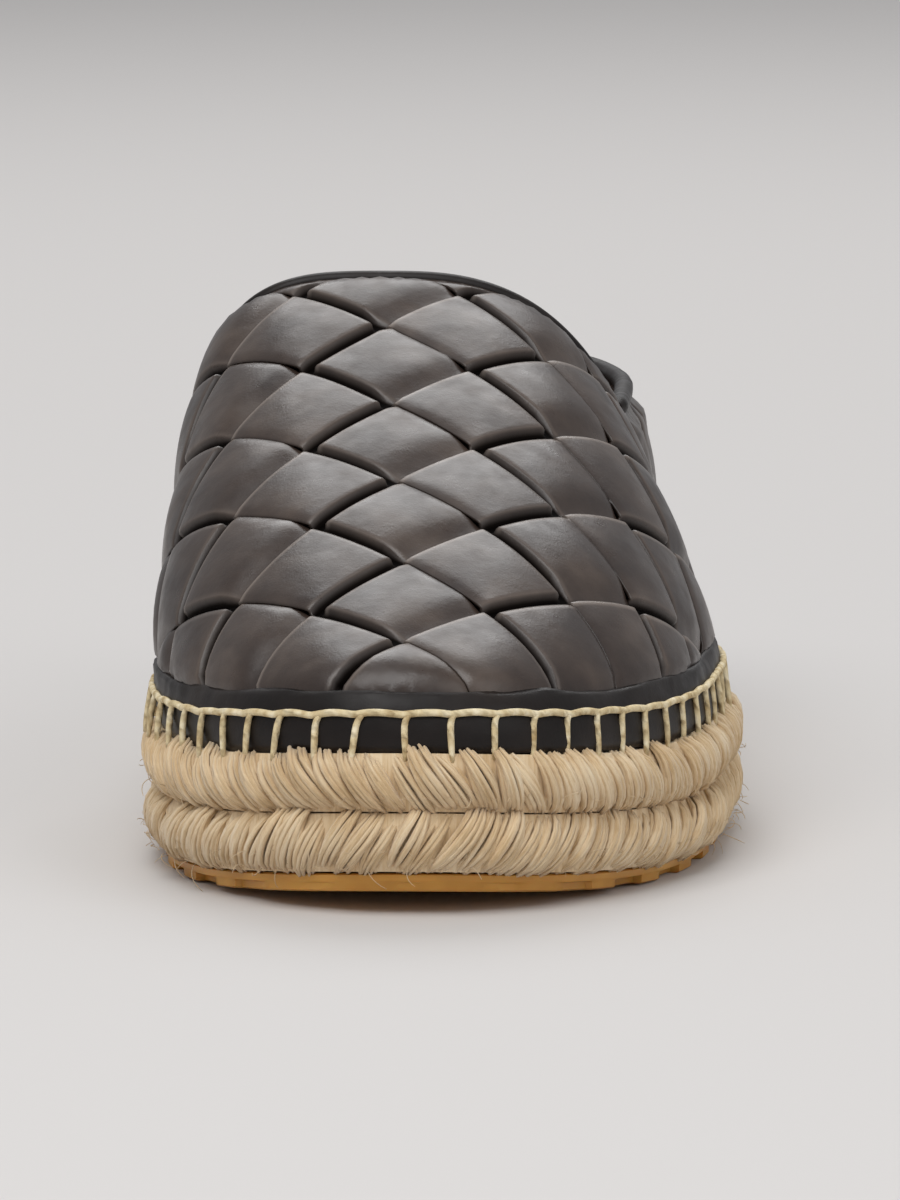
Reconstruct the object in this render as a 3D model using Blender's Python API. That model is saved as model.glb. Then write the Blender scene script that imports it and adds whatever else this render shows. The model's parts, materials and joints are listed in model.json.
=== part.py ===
# Woven leather espadrille sneaker, left shoe. Metres, +Z up, toe towards -Y, inner side towards -X.
import math

import bmesh
import bpy
import numpy as np
from mathutils import Vector, geometry

# Last and sole
LENGTH = 0.290
BALL_WIDTH = 0.109
TOE_SPRING = 0.005
ARCH_LIFT = 0.0012
TOE_ROUND = 0.075
TOE_NOSE = 0.010
HEEL_ROUND = 0.048
END_POWER = 2.2

# Sole layers
OUTSOLE_THICK = 0.0032
OUTSOLE_INSET = 0.0035
TREAD_DEPTH = 0.0016
TOOTH_DEPTH = 0.0016
TOOTH_PITCH = 0.018
JUTE_LOWER_THICK = 0.0105
JUTE_UPPER_THICK = 0.0105
STRAND_PITCH = 0.0085
STRAND_RISE = 0.0005
INSOLE_THICK = 0.0035
INSOLE_ROOM = 0.0012

# Upper
INSTEP_HEIGHT = 0.0740
THROAT_BACK = 0.150
THROAT_SLOPE = 0.27
COLLAR_HEIGHT = 0.0695
HEEL_LEAN = 0.0045
NOTCH_HEIGHT = 0.055
NOTCH_WIDTH = 0.009
QUARTER_CORNER_BACK = 0.185
FEATHER_INSET = 0.0045
WALL = 0.0018
CLEAR = 0.0003

# Weave
CELL_WIDE = 0.031
CELL_LONG = 0.0295
WEAVE_START = 0.0255
STRIP_RISE = 0.0013
GAP_WIDTH = 0.0032
PLAIN_EDGE = 0.0035
HEEL_STRIP = 0.012

# Trim
RAND_HEIGHT = 0.0100
RAND_THICK = 0.0012
RAND_ROOM = 0.0009
PIPING_DIAMETER = 0.0030
BINDING_DIAMETER = 0.0034
GORE_THICK = 0.0012
GORE_RIB = 0.00025
GORE_RIBS = 5

# Sole outline: share of the length from the toe, centre and half width as shares of the ball width
OUTLINE = np.array([
    (0.00, -0.035, 0.425),
    (0.10, -0.030, 0.452),
    (0.20, -0.018, 0.482),
    (0.30, -0.004, 0.498),
    (0.38, 0.008, 0.495),
    (0.50, 0.008, 0.450),
    (0.60, 0.012, 0.408),
    (0.72, 0.014, 0.378),
    (0.85, 0.008, 0.368),
    (1.00, 0.000, 0.362),
])

# Last: share of the length, crown rise as share of the instep height, crown shift as share of
# the ball width, and how square the section is
SECTIONS = np.array([
    (0.000, 0.150, -0.010, 2.10),
    (0.050, 0.225, -0.015, 2.10),
    (0.100, 0.315, -0.025, 2.15),
    (0.200, 0.495, -0.045, 2.25),
    (0.300, 0.655, -0.085, 2.45),
    (0.400, 0.820, -0.115, 2.70),
    (0.517, 1.000, -0.138, 3.00),
    (0.600, 1.040, -0.115, 3.00),
    (0.700, 1.000, -0.060, 2.80),
    (0.850, 0.930, -0.010, 2.65),
    (1.000, 0.900, 0.000, 2.60),
])

# Side of a jute row: share of its height, swell as share of its thickness
ROW_SIDE = ((0.0, -0.14), (0.22, 0.02), (0.5, 0.07), (0.8, 0.0), (1.0, -0.12))


def smooth_table(table, share, column):
    """Value of a table's column at a share, on a curve with matching slopes at its rows."""
    x, y = table[:, 0], table[:, column]
    slope = np.gradient(y, x)
    share = np.clip(share, x[0], x[-1])
    k = np.clip(np.searchsorted(x, share, side="right") - 1, 0, len(x) - 2)
    step = x[k + 1] - x[k]
    t = (share - x[k]) / step
    return (
        (2 * t**3 - 3 * t**2 + 1) * y[k] + (t**3 - 2 * t**2 + t) * step * slope[k]
        + (3 * t**2 - 2 * t**3) * y[k + 1] + (t**3 - t**2) * step * slope[k + 1]
    )


def ease(x):
    x = np.clip(x, 0, 1)
    return x * x * (3 - 2 * x)


def outline_at(back, inset=0.0):
    """Centre and half width of the sole outline, a distance back from the toe."""
    full = LENGTH - 2 * inset
    along = np.clip((np.asarray(back, float) - inset) / full, 0, 1)
    toe = np.clip(along * full / TOE_ROUND, 0, 1)
    heel = np.clip((1 - along) * full / HEEL_ROUND, 0, 1)
    ends = 1.0
    for end in (toe, heel):
        ends = ends * np.maximum(1 - (1 - end) ** END_POWER, 0) ** (1 / END_POWER)
    centre = smooth_table(OUTLINE, along, 1) * BALL_WIDTH
    return centre, (smooth_table(OUTLINE, along, 2) * BALL_WIDTH - inset) * ends


def ground(back):
    """Height of the sole's underside: flat at forefoot and heel, sprung at the toe, lifted at the arch."""
    share = np.asarray(back, float) / LENGTH
    toe = np.clip(1 - share / 0.19, 0, 1) ** 2 * TOE_SPRING
    arch = ease((share - 0.50) / 0.08) * ease((0.74 - share) / 0.08) * ARCH_LIFT
    return toe + arch


SOLE_TOP = OUTSOLE_THICK + JUTE_LOWER_THICK + JUTE_UPPER_THICK + 2 * CLEAR
FOOT_LEVEL = SOLE_TOP + CLEAR


def outline_loop(inset, count, shift=0.0):
    """Evenly spaced points round the outline, as distances back and across, toe first, outer side next."""
    full = LENGTH - 2 * inset
    turn = np.linspace(0, np.pi, 1500)
    back = inset + full * (1 - np.cos(turn)) / 2
    centre, half = outline_at(back, inset)
    loop = np.concatenate([
        np.column_stack([back, centre + half]),
        np.column_stack([back, centre - half])[::-1][1:],
    ])
    run = np.concatenate([[0], np.cumsum(np.hypot(*np.diff(loop, axis=0).T))])
    want = (np.arange(count) + shift) / count % 1 * run[-1]
    return np.column_stack([np.interp(want, run, loop[:, 0]), np.interp(want, run, loop[:, 1])])


def perimeter(inset):
    loop = outline_loop(inset, 400)
    return np.hypot(*(loop - np.roll(loop, 1, axis=0)).T).sum()


def section_at(back):
    """Centre, half width, crown rise, crown shift, squareness and foot height of the last."""
    centre, half = outline_at(back, FEATHER_INSET)
    share = np.asarray(back, float) / LENGTH
    nose = np.clip((back - FEATHER_INSET) / TOE_NOSE, 0, 1)
    rise = smooth_table(SECTIONS, share, 1) * INSTEP_HEIGHT * np.sqrt(1 - (1 - nose) ** 2)
    shift = smooth_table(SECTIONS, share, 2) * BALL_WIDTH
    return centre, half, rise, shift, smooth_table(SECTIONS, share, 3), FOOT_LEVEL + ground(back)


def last_point(back, turn, side):
    """Point on the last: turn 0 is the foot of the wall and pi/2 the crown; side is 1 outside, -1 inside."""
    centre, half, rise, shift, square, foot = section_at(back)
    power = 2 / square
    up = np.sin(np.clip(turn, 0, np.pi / 2)) ** power
    out = np.maximum(np.cos(turn), 0) ** power
    lean = ease((back / LENGTH - 0.80) / 0.20) * HEEL_LEAN
    low = np.clip(up * rise / COLLAR_HEIGHT, 0, 1.3)
    back = back - lean * (2.2 * low**2 - 1.2 * low)
    return np.stack([centre + side * half * out + shift * up, back - LENGTH / 2, foot + rise * up], -1)


def turn_at_height(back, height):
    """Turn at which the last's section reaches a height over the floor."""
    _, _, rise, _, square, foot = section_at(back)
    return np.arcsin(np.clip((height - foot) / rise, 0, 1) ** (square / 2))


# Pattern coordinates: across is the distance down from the crown, along the distance from the toe
TURNS = np.linspace(np.pi / 2, 0, 91)
STATIONS = FEATHER_INSET + (LENGTH - 2 * FEATHER_INSET) * (1 - np.cos(np.linspace(0, np.pi, 260))) / 2


def along_table():
    """Distance along the pattern at each station: over the crown first, then round the heel."""
    crown = last_point(STATIONS, np.pi / 2, 1)
    side = last_point(STATIONS, 0.5, 1)
    rear = ease((STATIONS - THROAT_BACK) / 0.02)[1:]
    over = np.linalg.norm(np.diff(crown, axis=0), axis=1)
    round_heel = np.linalg.norm(np.diff(side, axis=0), axis=1)
    return np.concatenate([[0], np.cumsum(over * (1 - rear) + round_heel * rear)])


ALONG = along_table()


def across_run(back, side):
    """Distances down from the crown at TURNS, in the section at one station."""
    ring = last_point(np.full(len(TURNS), back), TURNS, side)
    return np.concatenate([[0], np.cumsum(np.linalg.norm(np.diff(ring, axis=0), axis=1))])


def to_pattern(back, turn, side):
    run = across_run(back, side)
    return side * np.interp(-turn, -TURNS, run), np.interp(back, STATIONS, ALONG)


def from_pattern(across, along):
    back = np.interp(along, ALONG, STATIONS)
    side = 1 if across >= 0 else -1
    point = last_point(back, np.interp(abs(across), across_run(back, side), TURNS), side)
    return point, point[2] - FOOT_LEVEL - ground(back)


# Edges of the upper, as stations and heights over the floor
EDGE_POINTS = 18
THROAT_TOP = FOOT_LEVEL + INSTEP_HEIGHT


def vamp_edge_back(height):
    return THROAT_BACK + (THROAT_TOP - height) * THROAT_SLOPE


def quarter_edge_back(height):
    low = vamp_edge_back(NOTCH_HEIGHT) + NOTCH_WIDTH
    share = (height - NOTCH_HEIGHT) / (COLLAR_HEIGHT - NOTCH_HEIGHT)
    return low + (QUARTER_CORNER_BACK - low) * share


def collar_height(back):
    """The top line dips a little under the ankle."""
    share = (back - QUARTER_CORNER_BACK) / (LENGTH - QUARTER_CORNER_BACK)
    return COLLAR_HEIGHT - 0.03 * COLLAR_HEIGHT * math.sin(math.pi * min(max(share, 0), 1))


def throat_edge(side, count):
    """Edge of the vamp from the notch up to the crown, as stations and turns."""
    low = turn_at_height(vamp_edge_back(NOTCH_HEIGHT), NOTCH_HEIGHT)
    rows = []
    for turn in np.linspace(low, np.pi / 2, count):
        back = THROAT_BACK
        for _ in range(6):
            back = vamp_edge_back(last_point(back, turn, side)[2])
        rows.append((back, turn))
    return rows


def collar_edge(count):
    """Top line of a quarter from its front corner to the back seam, as stations and turns."""
    end = LENGTH - FEATHER_INSET
    step = np.linspace(0, 1, count)
    share = 0.45 * step + 0.55 * np.sin(step * np.pi / 2)
    backs = QUARTER_CORNER_BACK + (end - QUARTER_CORNER_BACK) * share
    return [(back, turn_at_height(back, collar_height(back))) for back in backs]


def upper_boundary():
    """Closed outline of the upper in pattern coordinates."""
    end = LENGTH - FEATHER_INSET
    foot = outline_loop(FEATHER_INSET, 132)
    half = len(foot) // 2
    outer = [to_pattern(back, 0, 1) for back, _ in foot[:half + 1]]
    inner = [to_pattern(back, 0, -1) for back, _ in foot[half:]]
    heel_turns = np.linspace(0, turn_at_height(end, collar_height(end)), 9)[1:-1]

    def half_edge(side):
        rows = [to_pattern(end, turn, side) for turn in heel_turns]
        rows += [to_pattern(back, turn, side) for back, turn in reversed(collar_edge(EDGE_POINTS))]
        for height in np.linspace(COLLAR_HEIGHT, NOTCH_HEIGHT, 5)[1:]:
            back = quarter_edge_back(height)
            rows.append(to_pattern(back, turn_at_height(back, height), side))
        return rows + [to_pattern(back, turn, side) for back, turn in throat_edge(side, EDGE_POINTS)]

    inner_edge = half_edge(-1)
    return np.array(outer + half_edge(1) + inner_edge[:-1][::-1] + inner), half_edge


def inside(points, ring):
    """Which points lie in a closed ring."""
    x, y = points[:, 0, None], points[:, 1, None]
    x0, y0 = ring[:, 0], ring[:, 1]
    x1, y1 = np.roll(x0, -1), np.roll(y0, -1)
    cross = (y0 > y) != (y1 > y)
    at = x0 + (y - y0) * (x1 - x0) / np.where(y1 == y0, 1e-12, y1 - y0)
    return (cross & (x < at)).sum(axis=1) % 2 == 1


def edge_distance(points, ring):
    start, step = ring, np.roll(ring, -1, axis=0) - ring
    t = ((points[:, None] - start) * step).sum(-1) / np.maximum((step**2).sum(-1), 1e-15)
    nearest = start + np.clip(t, 0, 1)[..., None] * step
    return np.linalg.norm(points[:, None] - nearest, axis=-1).min(axis=1)


def fill(ring, lines, loose):
    """Triangles that fill a ring and keep its lines; the first points of the result are the ring's."""
    points, edges = [tuple(p) for p in ring], [(i, (i + 1) % len(ring)) for i in range(len(ring))]
    for line in lines:
        keep = inside(line, ring) & (edge_distance(line, ring) > 0.0022)
        for k, point in enumerate(line):
            points.append(tuple(point))
            if k and keep[k] and keep[k - 1]:
                edges.append((len(points) - 2, len(points) - 1))
        points[len(points) - len(line):] = [tuple(p) if ok else None for p, ok in zip(line, keep)]
    points += [tuple(p) for p in loose]
    kept = [k for k, p in enumerate(points) if p is not None]
    place = {k: n for n, k in enumerate(kept)}
    flat = [Vector(points[k]) * 100 for k in kept]
    edges = [(place[a], place[b]) for a, b in edges]
    made = geometry.delaunay_2d_cdt(flat, edges, [], 0, 1e-5)
    found = np.array([tuple(v) for v in made[0]]) / 100
    faces = np.array([f for f in made[2] if len(f) == 3])
    middle = found[faces].mean(axis=1)
    faces = faces[inside(middle, ring)]
    a, b, c = (found[faces[:, k]] for k in range(3))
    area = (b[:, 0] - a[:, 0]) * (c[:, 1] - a[:, 1]) - (b[:, 1] - a[:, 1]) * (c[:, 0] - a[:, 0])
    faces[area < 0] = faces[area < 0][:, ::-1]
    faces = faces[np.abs(area) > 1e-12]
    used, flat_faces = np.unique(faces, return_inverse=True)
    return found[used], flat_faces.reshape(-1, 3)


def gap_depth(column, slants_up):
    """How deep the gap between two strips is: every second column of crossings is drawn tight."""
    if column % 2:
        return 1.0
    return 0.8 if slants_up else 0.45


def weave_relief(across, along, above_foot, from_edge):
    """Height of the woven strips over the wall at a point of the pattern."""
    p = across / CELL_WIDE + (along - WEAVE_START) / CELL_LONG
    q = -across / CELL_WIDE + (along - WEAVE_START) / CELL_LONG
    column = math.floor(across / (CELL_WIDE / 2))
    drop = 0.0
    stretch = CELL_WIDE * CELL_LONG / math.hypot(CELL_WIDE, CELL_LONG)
    for value, slants_up in ((p, False), (q, True)):
        gap = abs(value - round(value)) * stretch
        drop = max(drop, gap_depth(column, slants_up) * max(0.0, 1 - gap / (GAP_WIDTH / 2)))
    pillow = 0.25 * math.sin(math.pi * (p % 1)) * math.sin(math.pi * (q % 1))
    height = STRIP_RISE * (1 - drop + pillow * (1 - drop))
    height *= ease((above_foot - RAND_HEIGHT - 0.0020) / 0.002)
    seam = ALONG[-1] - along
    if seam < HEEL_STRIP:
        height = STRIP_RISE * 0.8 * ease((above_foot - RAND_HEIGHT - 0.0020) / 0.002)
    return height * ease((from_edge - PLAIN_EDGE) / 0.001)


def weave_lines():
    """The lines between the woven strips, and the shoulders of their gaps, in pattern coordinates."""
    lines, centres = [], []
    half_wide, half_long = CELL_WIDE / 2, CELL_LONG / 2
    columns = int(0.13 / half_wide)
    rows = int(ALONG[-1] / half_long) + 2
    for i in range(-columns, columns):
        for j in range(-4, rows):
            start = np.array([i * half_wide, WEAVE_START + j * half_long])
            falls = (i + j) % 2 == 1
            if falls:
                start[1] += half_long
            step = np.array([half_wide, -half_long if falls else half_long])
            normal = np.array([-step[1], step[0]]) / np.linalg.norm(step)
            depth = gap_depth(i, not falls)
            share = np.linspace(0, 1, 4 if depth > 0.5 else 3)[:, None]
            lines.append(start + step * share)
            if depth > 0.5:
                shoulder = np.linspace(0.12, 0.88, 3)[:, None]
                for sign in (1, -1):
                    lines.append(start + step * shoulder + sign * normal * GAP_WIDTH / 2)
            if (i + j) % 2 == 0:
                centres.append((i * half_wide + half_wide, WEAVE_START + j * half_long))
    return lines, np.array(centres)


def add_object(name, points, faces, material, weld=False):
    mesh = bpy.data.meshes.new(name)
    mesh.from_pydata([tuple(p) for p in points], [], [tuple(int(k) for k in f) for f in faces])
    if weld:
        work = bmesh.new()
        work.from_mesh(mesh)
        bmesh.ops.remove_doubles(work, verts=work.verts, dist=1e-6)
        work.to_mesh(mesh)
        work.free()
    mesh.shade_smooth()
    mesh.set_sharp_from_angle(angle=math.radians(40))
    mesh.materials.append(material)
    body = bpy.data.objects.new(name, mesh)
    bpy.context.scene.collection.objects.link(body)
    return body


def add_material(name, colour, roughness):
    material = bpy.data.materials.new(name)
    material.use_nodes = True
    shader = material.node_tree.nodes["Principled BSDF"]
    shader.inputs["Base Color"].default_value = (*colour, 1)
    shader.inputs["Roughness"].default_value = roughness
    shader.inputs["Metallic"].default_value = 0
    return material


def welded(points, faces):
    """Points that fall together made one."""
    _, first, index = np.unique(np.round(points, 6), axis=0, return_index=True, return_inverse=True)
    return first, index.reshape(-1)[faces]


def normals_of(points, faces):
    a, b, c = (points[faces[:, k]] for k in range(3))
    flat = np.cross(b - a, c - a)
    normals = np.zeros_like(points)
    for k in range(3):
        np.add.at(normals, faces[:, k], flat)
    return normals / np.maximum(np.linalg.norm(normals, axis=1, keepdims=True), 1e-15)


def surface_of(flat, faces):
    """The last's surface over a filled pattern: points, normals, faces and heights above the foot."""
    laid = [from_pattern(*p) for p in flat]
    points = np.array([p for p, _ in laid])
    above = np.array([h for _, h in laid])
    first, joined = welded(points, faces)
    normals, above = normals_of(points[first], joined), above[first]
    foot = above < 1e-6
    normals[foot, 2] = 0
    normals[foot] /= np.linalg.norm(normals[foot], axis=1, keepdims=True)
    return points[first], normals, joined, above, first


def open_edges(faces):
    """Edges that belong to one face only, in that face's direction."""
    ends = np.concatenate([faces[:, [0, 1]], faces[:, [1, 2]], faces[:, [2, 0]]])
    known = {tuple(e) for e in ends}
    return [(a, b) for a, b in known if (b, a) not in known]


def build_upper(material):
    ring, _ = upper_boundary()
    lines, centres = weave_lines()
    keep = inside(centres, ring) & (edge_distance(centres, ring) > 0.004)
    outer_flat, outer_faces = fill(ring, lines, centres[keep])
    grid = np.array([
        (x, y) for x in np.arange(-0.13, 0.131, 0.013) for y in np.arange(0.004, ALONG[-1], 0.0125)
    ])
    keep = inside(grid, ring) & (edge_distance(grid, ring) > 0.005)
    inner_flat, inner_faces = fill(ring, [], grid[keep])

    points, normals, faces, above, first = surface_of(outer_flat, outer_faces)
    flat = outer_flat[first]
    from_edge = edge_distance(flat, ring)
    foot_near = from_edge + 1e-4 > above
    from_edge = np.where(foot_near, 1.0, from_edge)
    seam_near = ALONG[-1] - flat[:, 1] < from_edge + 1e-4
    from_edge = np.where(seam_near, 1.0, from_edge)
    rise = np.array([
        weave_relief(x, y, h, e) for (x, y), h, e in zip(flat, above, from_edge)
    ])
    outer = points + normals * rise[:, None]

    base, inward, back_faces, _, _ = surface_of(inner_flat, inner_faces)
    inner = base - inward * WALL
    count = len(outer)
    find = {tuple(np.round(p, 6)): k for k, p in enumerate(base)}
    rim = []
    for a, b in open_edges(faces):
        c, d = (find[tuple(np.round(points[k], 6))] + count for k in (a, b))
        rim += [(b, a, c), (b, c, d)]
    every = np.concatenate([faces, back_faces[:, ::-1] + count, np.array(rim)])
    return add_object("upper", np.concatenate([outer, inner]), every, material)


def band(name, rings, material):
    """Closed band from rings of points, each ring a loop, the last ring joined back to the first."""
    count = len(rings[0])
    faces = []
    for k in range(len(rings)):
        low, high = k * count, (k + 1) % len(rings) * count
        for n in range(count):
            m = (n + 1) % count
            faces += [(low + n, low + m, high + m), (low + n, high + m, high + n)]
    return add_object(name, np.concatenate(rings), faces, material)


def contour(height, count):
    """Closed line round the last at one height above the foot, evenly spaced on each side."""
    rises = section_at(STATIONS)[2]
    first = np.interp(height, rises[:60], STATIONS[:60])
    turn = np.linspace(0, np.pi, 400)
    backs = first + (STATIONS[-1] - first) * (1 - np.cos(turn)) / 2
    _, _, rise, _, square, _ = section_at(backs)
    turns = np.arcsin(np.clip(height / np.maximum(rise, 1e-9), 0, 1) ** (square / 2))
    halves = []
    for side in (1, -1):
        line = last_point(backs, turns, side)
        run = np.concatenate([[0], np.cumsum(np.linalg.norm(np.diff(line, axis=0), axis=1))])
        want = np.linspace(0, run[-1], count + 1)
        halves.append(np.column_stack([np.interp(want, run, line[:, k]) for k in range(3)]))
    return np.concatenate([halves[0], halves[1][1:-1][::-1]])


def build_rand(material):
    """Smooth band that covers the foot of the upper."""
    heights = np.linspace(1.5 * CLEAR, RAND_HEIGHT, 4)
    base = [contour(height, 60) for height in heights]
    near, far = [], []
    for k, row in enumerate(base):
        up = base[min(k + 1, 3)] - base[max(k - 1, 0)]
        around = np.roll(row, -1, axis=0) - np.roll(row, 1, axis=0)
        normal = np.cross(around, up)
        normal /= np.linalg.norm(normal, axis=1, keepdims=True)
        near.append(row + normal * RAND_ROOM)
        far.append(row + normal * (RAND_ROOM + RAND_THICK))
    return band("rand", far + near[::-1], material)


def cap_points(loop, inset):
    """Points inside an outline, in rows across, so that every layer bends at the same stations."""
    rows = []
    for back in np.arange(0.012, LENGTH, 0.0133):
        centre, half = outline_at(back, inset)
        rows += [(back, centre + half * share) for share in (-0.55, 0.0, 0.55)]
    rows = np.array(rows)
    return rows[inside(rows, loop) & (edge_distance(rows, loop) > 0.004)]


def build_layer(name, levels, material, inset):
    """Solid sole layer from rings (loop of back and across, height over the ground line), low to high."""
    count = len(levels[0][0])
    points, faces = [], []
    for loop, height in levels:
        points += [(x, back - LENGTH / 2, ground(back) + height) for back, x in loop]
    for k in range(len(levels) - 1):
        low, high = k * count, (k + 1) * count
        for n in range(count):
            m = (n + 1) % count
            faces += [(low + n, low + m, high + m), (low + n, high + m, high + n)]
    for ring, downwards in ((levels[0], True), (levels[-1], False)):
        loop, height = ring
        start = len(points)
        turned = loop[:, ::-1]
        flat, filled = fill(turned, [], cap_points(loop, inset)[:, ::-1])
        points += [(x, back - LENGTH / 2, ground(back) + height) for x, back in flat]
        faces += [tuple(f[::-1] + start if downwards else f + start) for f in filled]
    return add_object(name, points, faces, material, weld=True)


def build_jute(name, bottom, thick, slant, material):
    """Row of the braid: ribs round its side lean one way, like the strands of a plait."""
    ribs = int(round(perimeter(0.002) / STRAND_PITCH))
    levels = []
    for share, swell in ROW_SIDE:
        inset = 0.001 - swell * thick
        shift = slant * share * 1.6
        low = outline_loop(inset + STRAND_RISE, ribs * 2, shift)
        high = outline_loop(inset - STRAND_RISE, ribs * 2, shift)
        ridge = np.arange(ribs * 2)[:, None] % 2 == 0
        levels.append((np.where(ridge, high, low), bottom + share * thick))
    return build_layer(name, levels, material, 0.006)


def build_outsole(material):
    """Thin rubber sheet: smooth rim over a tread whose edge is cut into lugs."""
    teeth = int(round(perimeter(OUTSOLE_INSET) / TOOTH_PITCH))
    rim = outline_loop(OUTSOLE_INSET, teeth * 4)
    cut = outline_loop(OUTSOLE_INSET + TOOTH_DEPTH, teeth * 4)
    tooth = np.arange(teeth * 4)[:, None] % 4 < 2
    tread = np.where(tooth, outline_loop(OUTSOLE_INSET + 0.0003, teeth * 4), cut)
    return build_layer(
        "outsole",
        [(tread, 0.0), (tread, TREAD_DEPTH), (rim, TREAD_DEPTH + 0.0002), (rim, OUTSOLE_THICK)],
        material,
        OUTSOLE_INSET + 0.006,
    )


def build_insole(material):
    inset = FEATHER_INSET + WALL + INSOLE_ROOM
    low = outline_loop(inset, 96)
    high = outline_loop(inset + INSOLE_ROOM, 96)
    return build_layer("insole", [(low, FOOT_LEVEL), (high, FOOT_LEVEL + INSOLE_THICK)], material, inset)


def bead(name, path, diameter, material):
    curve = bpy.data.curves.new(name, "CURVE")
    curve.dimensions = "3D"
    curve.bevel_depth = diameter / 2
    curve.bevel_resolution = 1
    curve.use_fill_caps = True
    line = curve.splines.new("POLY")
    line.points.add(len(path) - 1)
    for point, place in zip(line.points, path):
        point.co = (*place, 1)
    curve.materials.append(material)
    body = bpy.data.objects.new(name, curve)
    bpy.context.scene.collection.objects.link(body)
    return body


def normal_at(back, turn, side):
    """Outward direction of the last's surface."""
    point = last_point(back, turn, side)
    down = last_point(back, turn - 0.03, side) - point
    fore = last_point(back - 0.001, turn, side) - point
    normal = np.cross(fore, down) * side
    return normal / np.linalg.norm(normal)


def edge_path(stations, diameter, to_open):
    """Path of a bead that sits on an edge of the wall, clear of it, towards the open side."""
    points = np.array([last_point(*station) for station in stations])
    normal = np.array([normal_at(*station) for station in stations])
    tangent = np.gradient(points, axis=0)
    out = np.cross(normal, tangent)
    out /= np.linalg.norm(out, axis=1, keepdims=True)
    out[(out * np.array(to_open)).sum(axis=1) < 0] *= -1
    return points - normal * WALL / 2 + out * (diameter / 2 + 2 * CLEAR)


def both_sides(edge):
    """Stations of one side's edge, carried over the middle and down the other side."""
    return [(b, t, 1) for b, t in edge] + [(b, t, -1) for b, t in edge[:-1][::-1]]


def build_piping(material):
    stations = both_sides(throat_edge(1, EDGE_POINTS))[1:-1]
    path = edge_path(stations, PIPING_DIAMETER, (0, 1, 0.2))
    return bead("vamp_piping", path, PIPING_DIAMETER, material)


def build_binding(material):
    stations = both_sides(collar_edge(EDGE_POINTS))
    path = edge_path(stations, BINDING_DIAMETER, (0, 0, 1))
    return bead("collar_binding", path, BINDING_DIAMETER, material)


def build_gore(name, side, material):
    """Ribbed elastic panel between the piping and the front edge of the quarter."""
    columns, rows = 2 * GORE_RIBS + 1, 5
    front_room = PIPING_DIAMETER + 4 * CLEAR
    grid = []
    for up in np.linspace(0, 1, rows):
        low = NOTCH_HEIGHT + 2 * CLEAR
        front_height = low + (THROAT_TOP * 0.80 - low) * up
        rear_height = low + (COLLAR_HEIGHT - low) * up
        front = vamp_edge_back(front_height) + front_room
        rear = quarter_edge_back(rear_height) - 2 * CLEAR
        for share in np.linspace(0, 1, columns):
            back = front + (rear - front) * share
            height = front_height + (rear_height - front_height) * share
            grid.append((back, turn_at_height(back, height)))
    points = np.array([last_point(back, turn, side) for back, turn in grid])
    faces = []
    for r in range(rows - 1):
        for c in range(columns - 1):
            a, b = r * columns + c, r * columns + c + 1
            d, e = a + columns, b + columns
            faces += [(a, b, e), (a, e, d)]
    faces = np.array(faces)
    if side < 0:
        faces = faces[:, ::-1]
    normals = normals_of(points, faces)
    rib = np.where(np.arange(len(points)) % columns % 2 == 1, GORE_RIB, 0)[:, None]
    outer = points - normals * (WALL - GORE_THICK) / 2 + normals * rib
    inner = outer - normals * GORE_THICK - normals * rib
    count = len(points)
    sides = []
    for a, b in open_edges(faces):
        sides += [(b, a, a + count), (b, a + count, b + count)]
    every = np.concatenate([faces, faces[:, ::-1] + count, np.array(sides)])
    return add_object(name, np.concatenate([outer, inner]), every, material)


def build_shoe():
    leather = add_material("woven_leather", (0.105, 0.088, 0.080), 0.42)
    trim = add_material("trim_leather", (0.022, 0.019, 0.019), 0.45)
    jute = add_material("jute_braid", (0.60, 0.45, 0.27), 0.85)
    rubber = add_material("gum_rubber", (0.50, 0.26, 0.06), 0.45)
    elastic = add_material("elastic_gore", (0.09, 0.055, 0.045), 0.80)
    lining = add_material("footbed_leather", (0.30, 0.22, 0.15), 0.60)

    build_outsole(rubber)
    lower = OUTSOLE_THICK + CLEAR
    build_jute("jute_lower", lower, JUTE_LOWER_THICK, 1, jute)
    build_jute("jute_upper", lower + JUTE_LOWER_THICK + CLEAR, JUTE_UPPER_THICK, -1, jute)
    build_insole(lining)
    build_upper(leather)
    build_rand(trim)
    build_piping(trim)
    build_binding(trim)
    build_gore("gore_lateral", 1, elastic)
    build_gore("gore_medial", -1, elastic)


for thing in list(bpy.data.objects):
    bpy.data.objects.remove(thing, do_unlink=True)
build_shoe()
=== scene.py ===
# Slip-on espadrille, left shoe: dark woven leather on a jute braid sole. Metres, toe towards -Y.
import json
import math
import random

import bmesh
import bpy
import numpy as np
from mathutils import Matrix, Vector, noise

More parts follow.
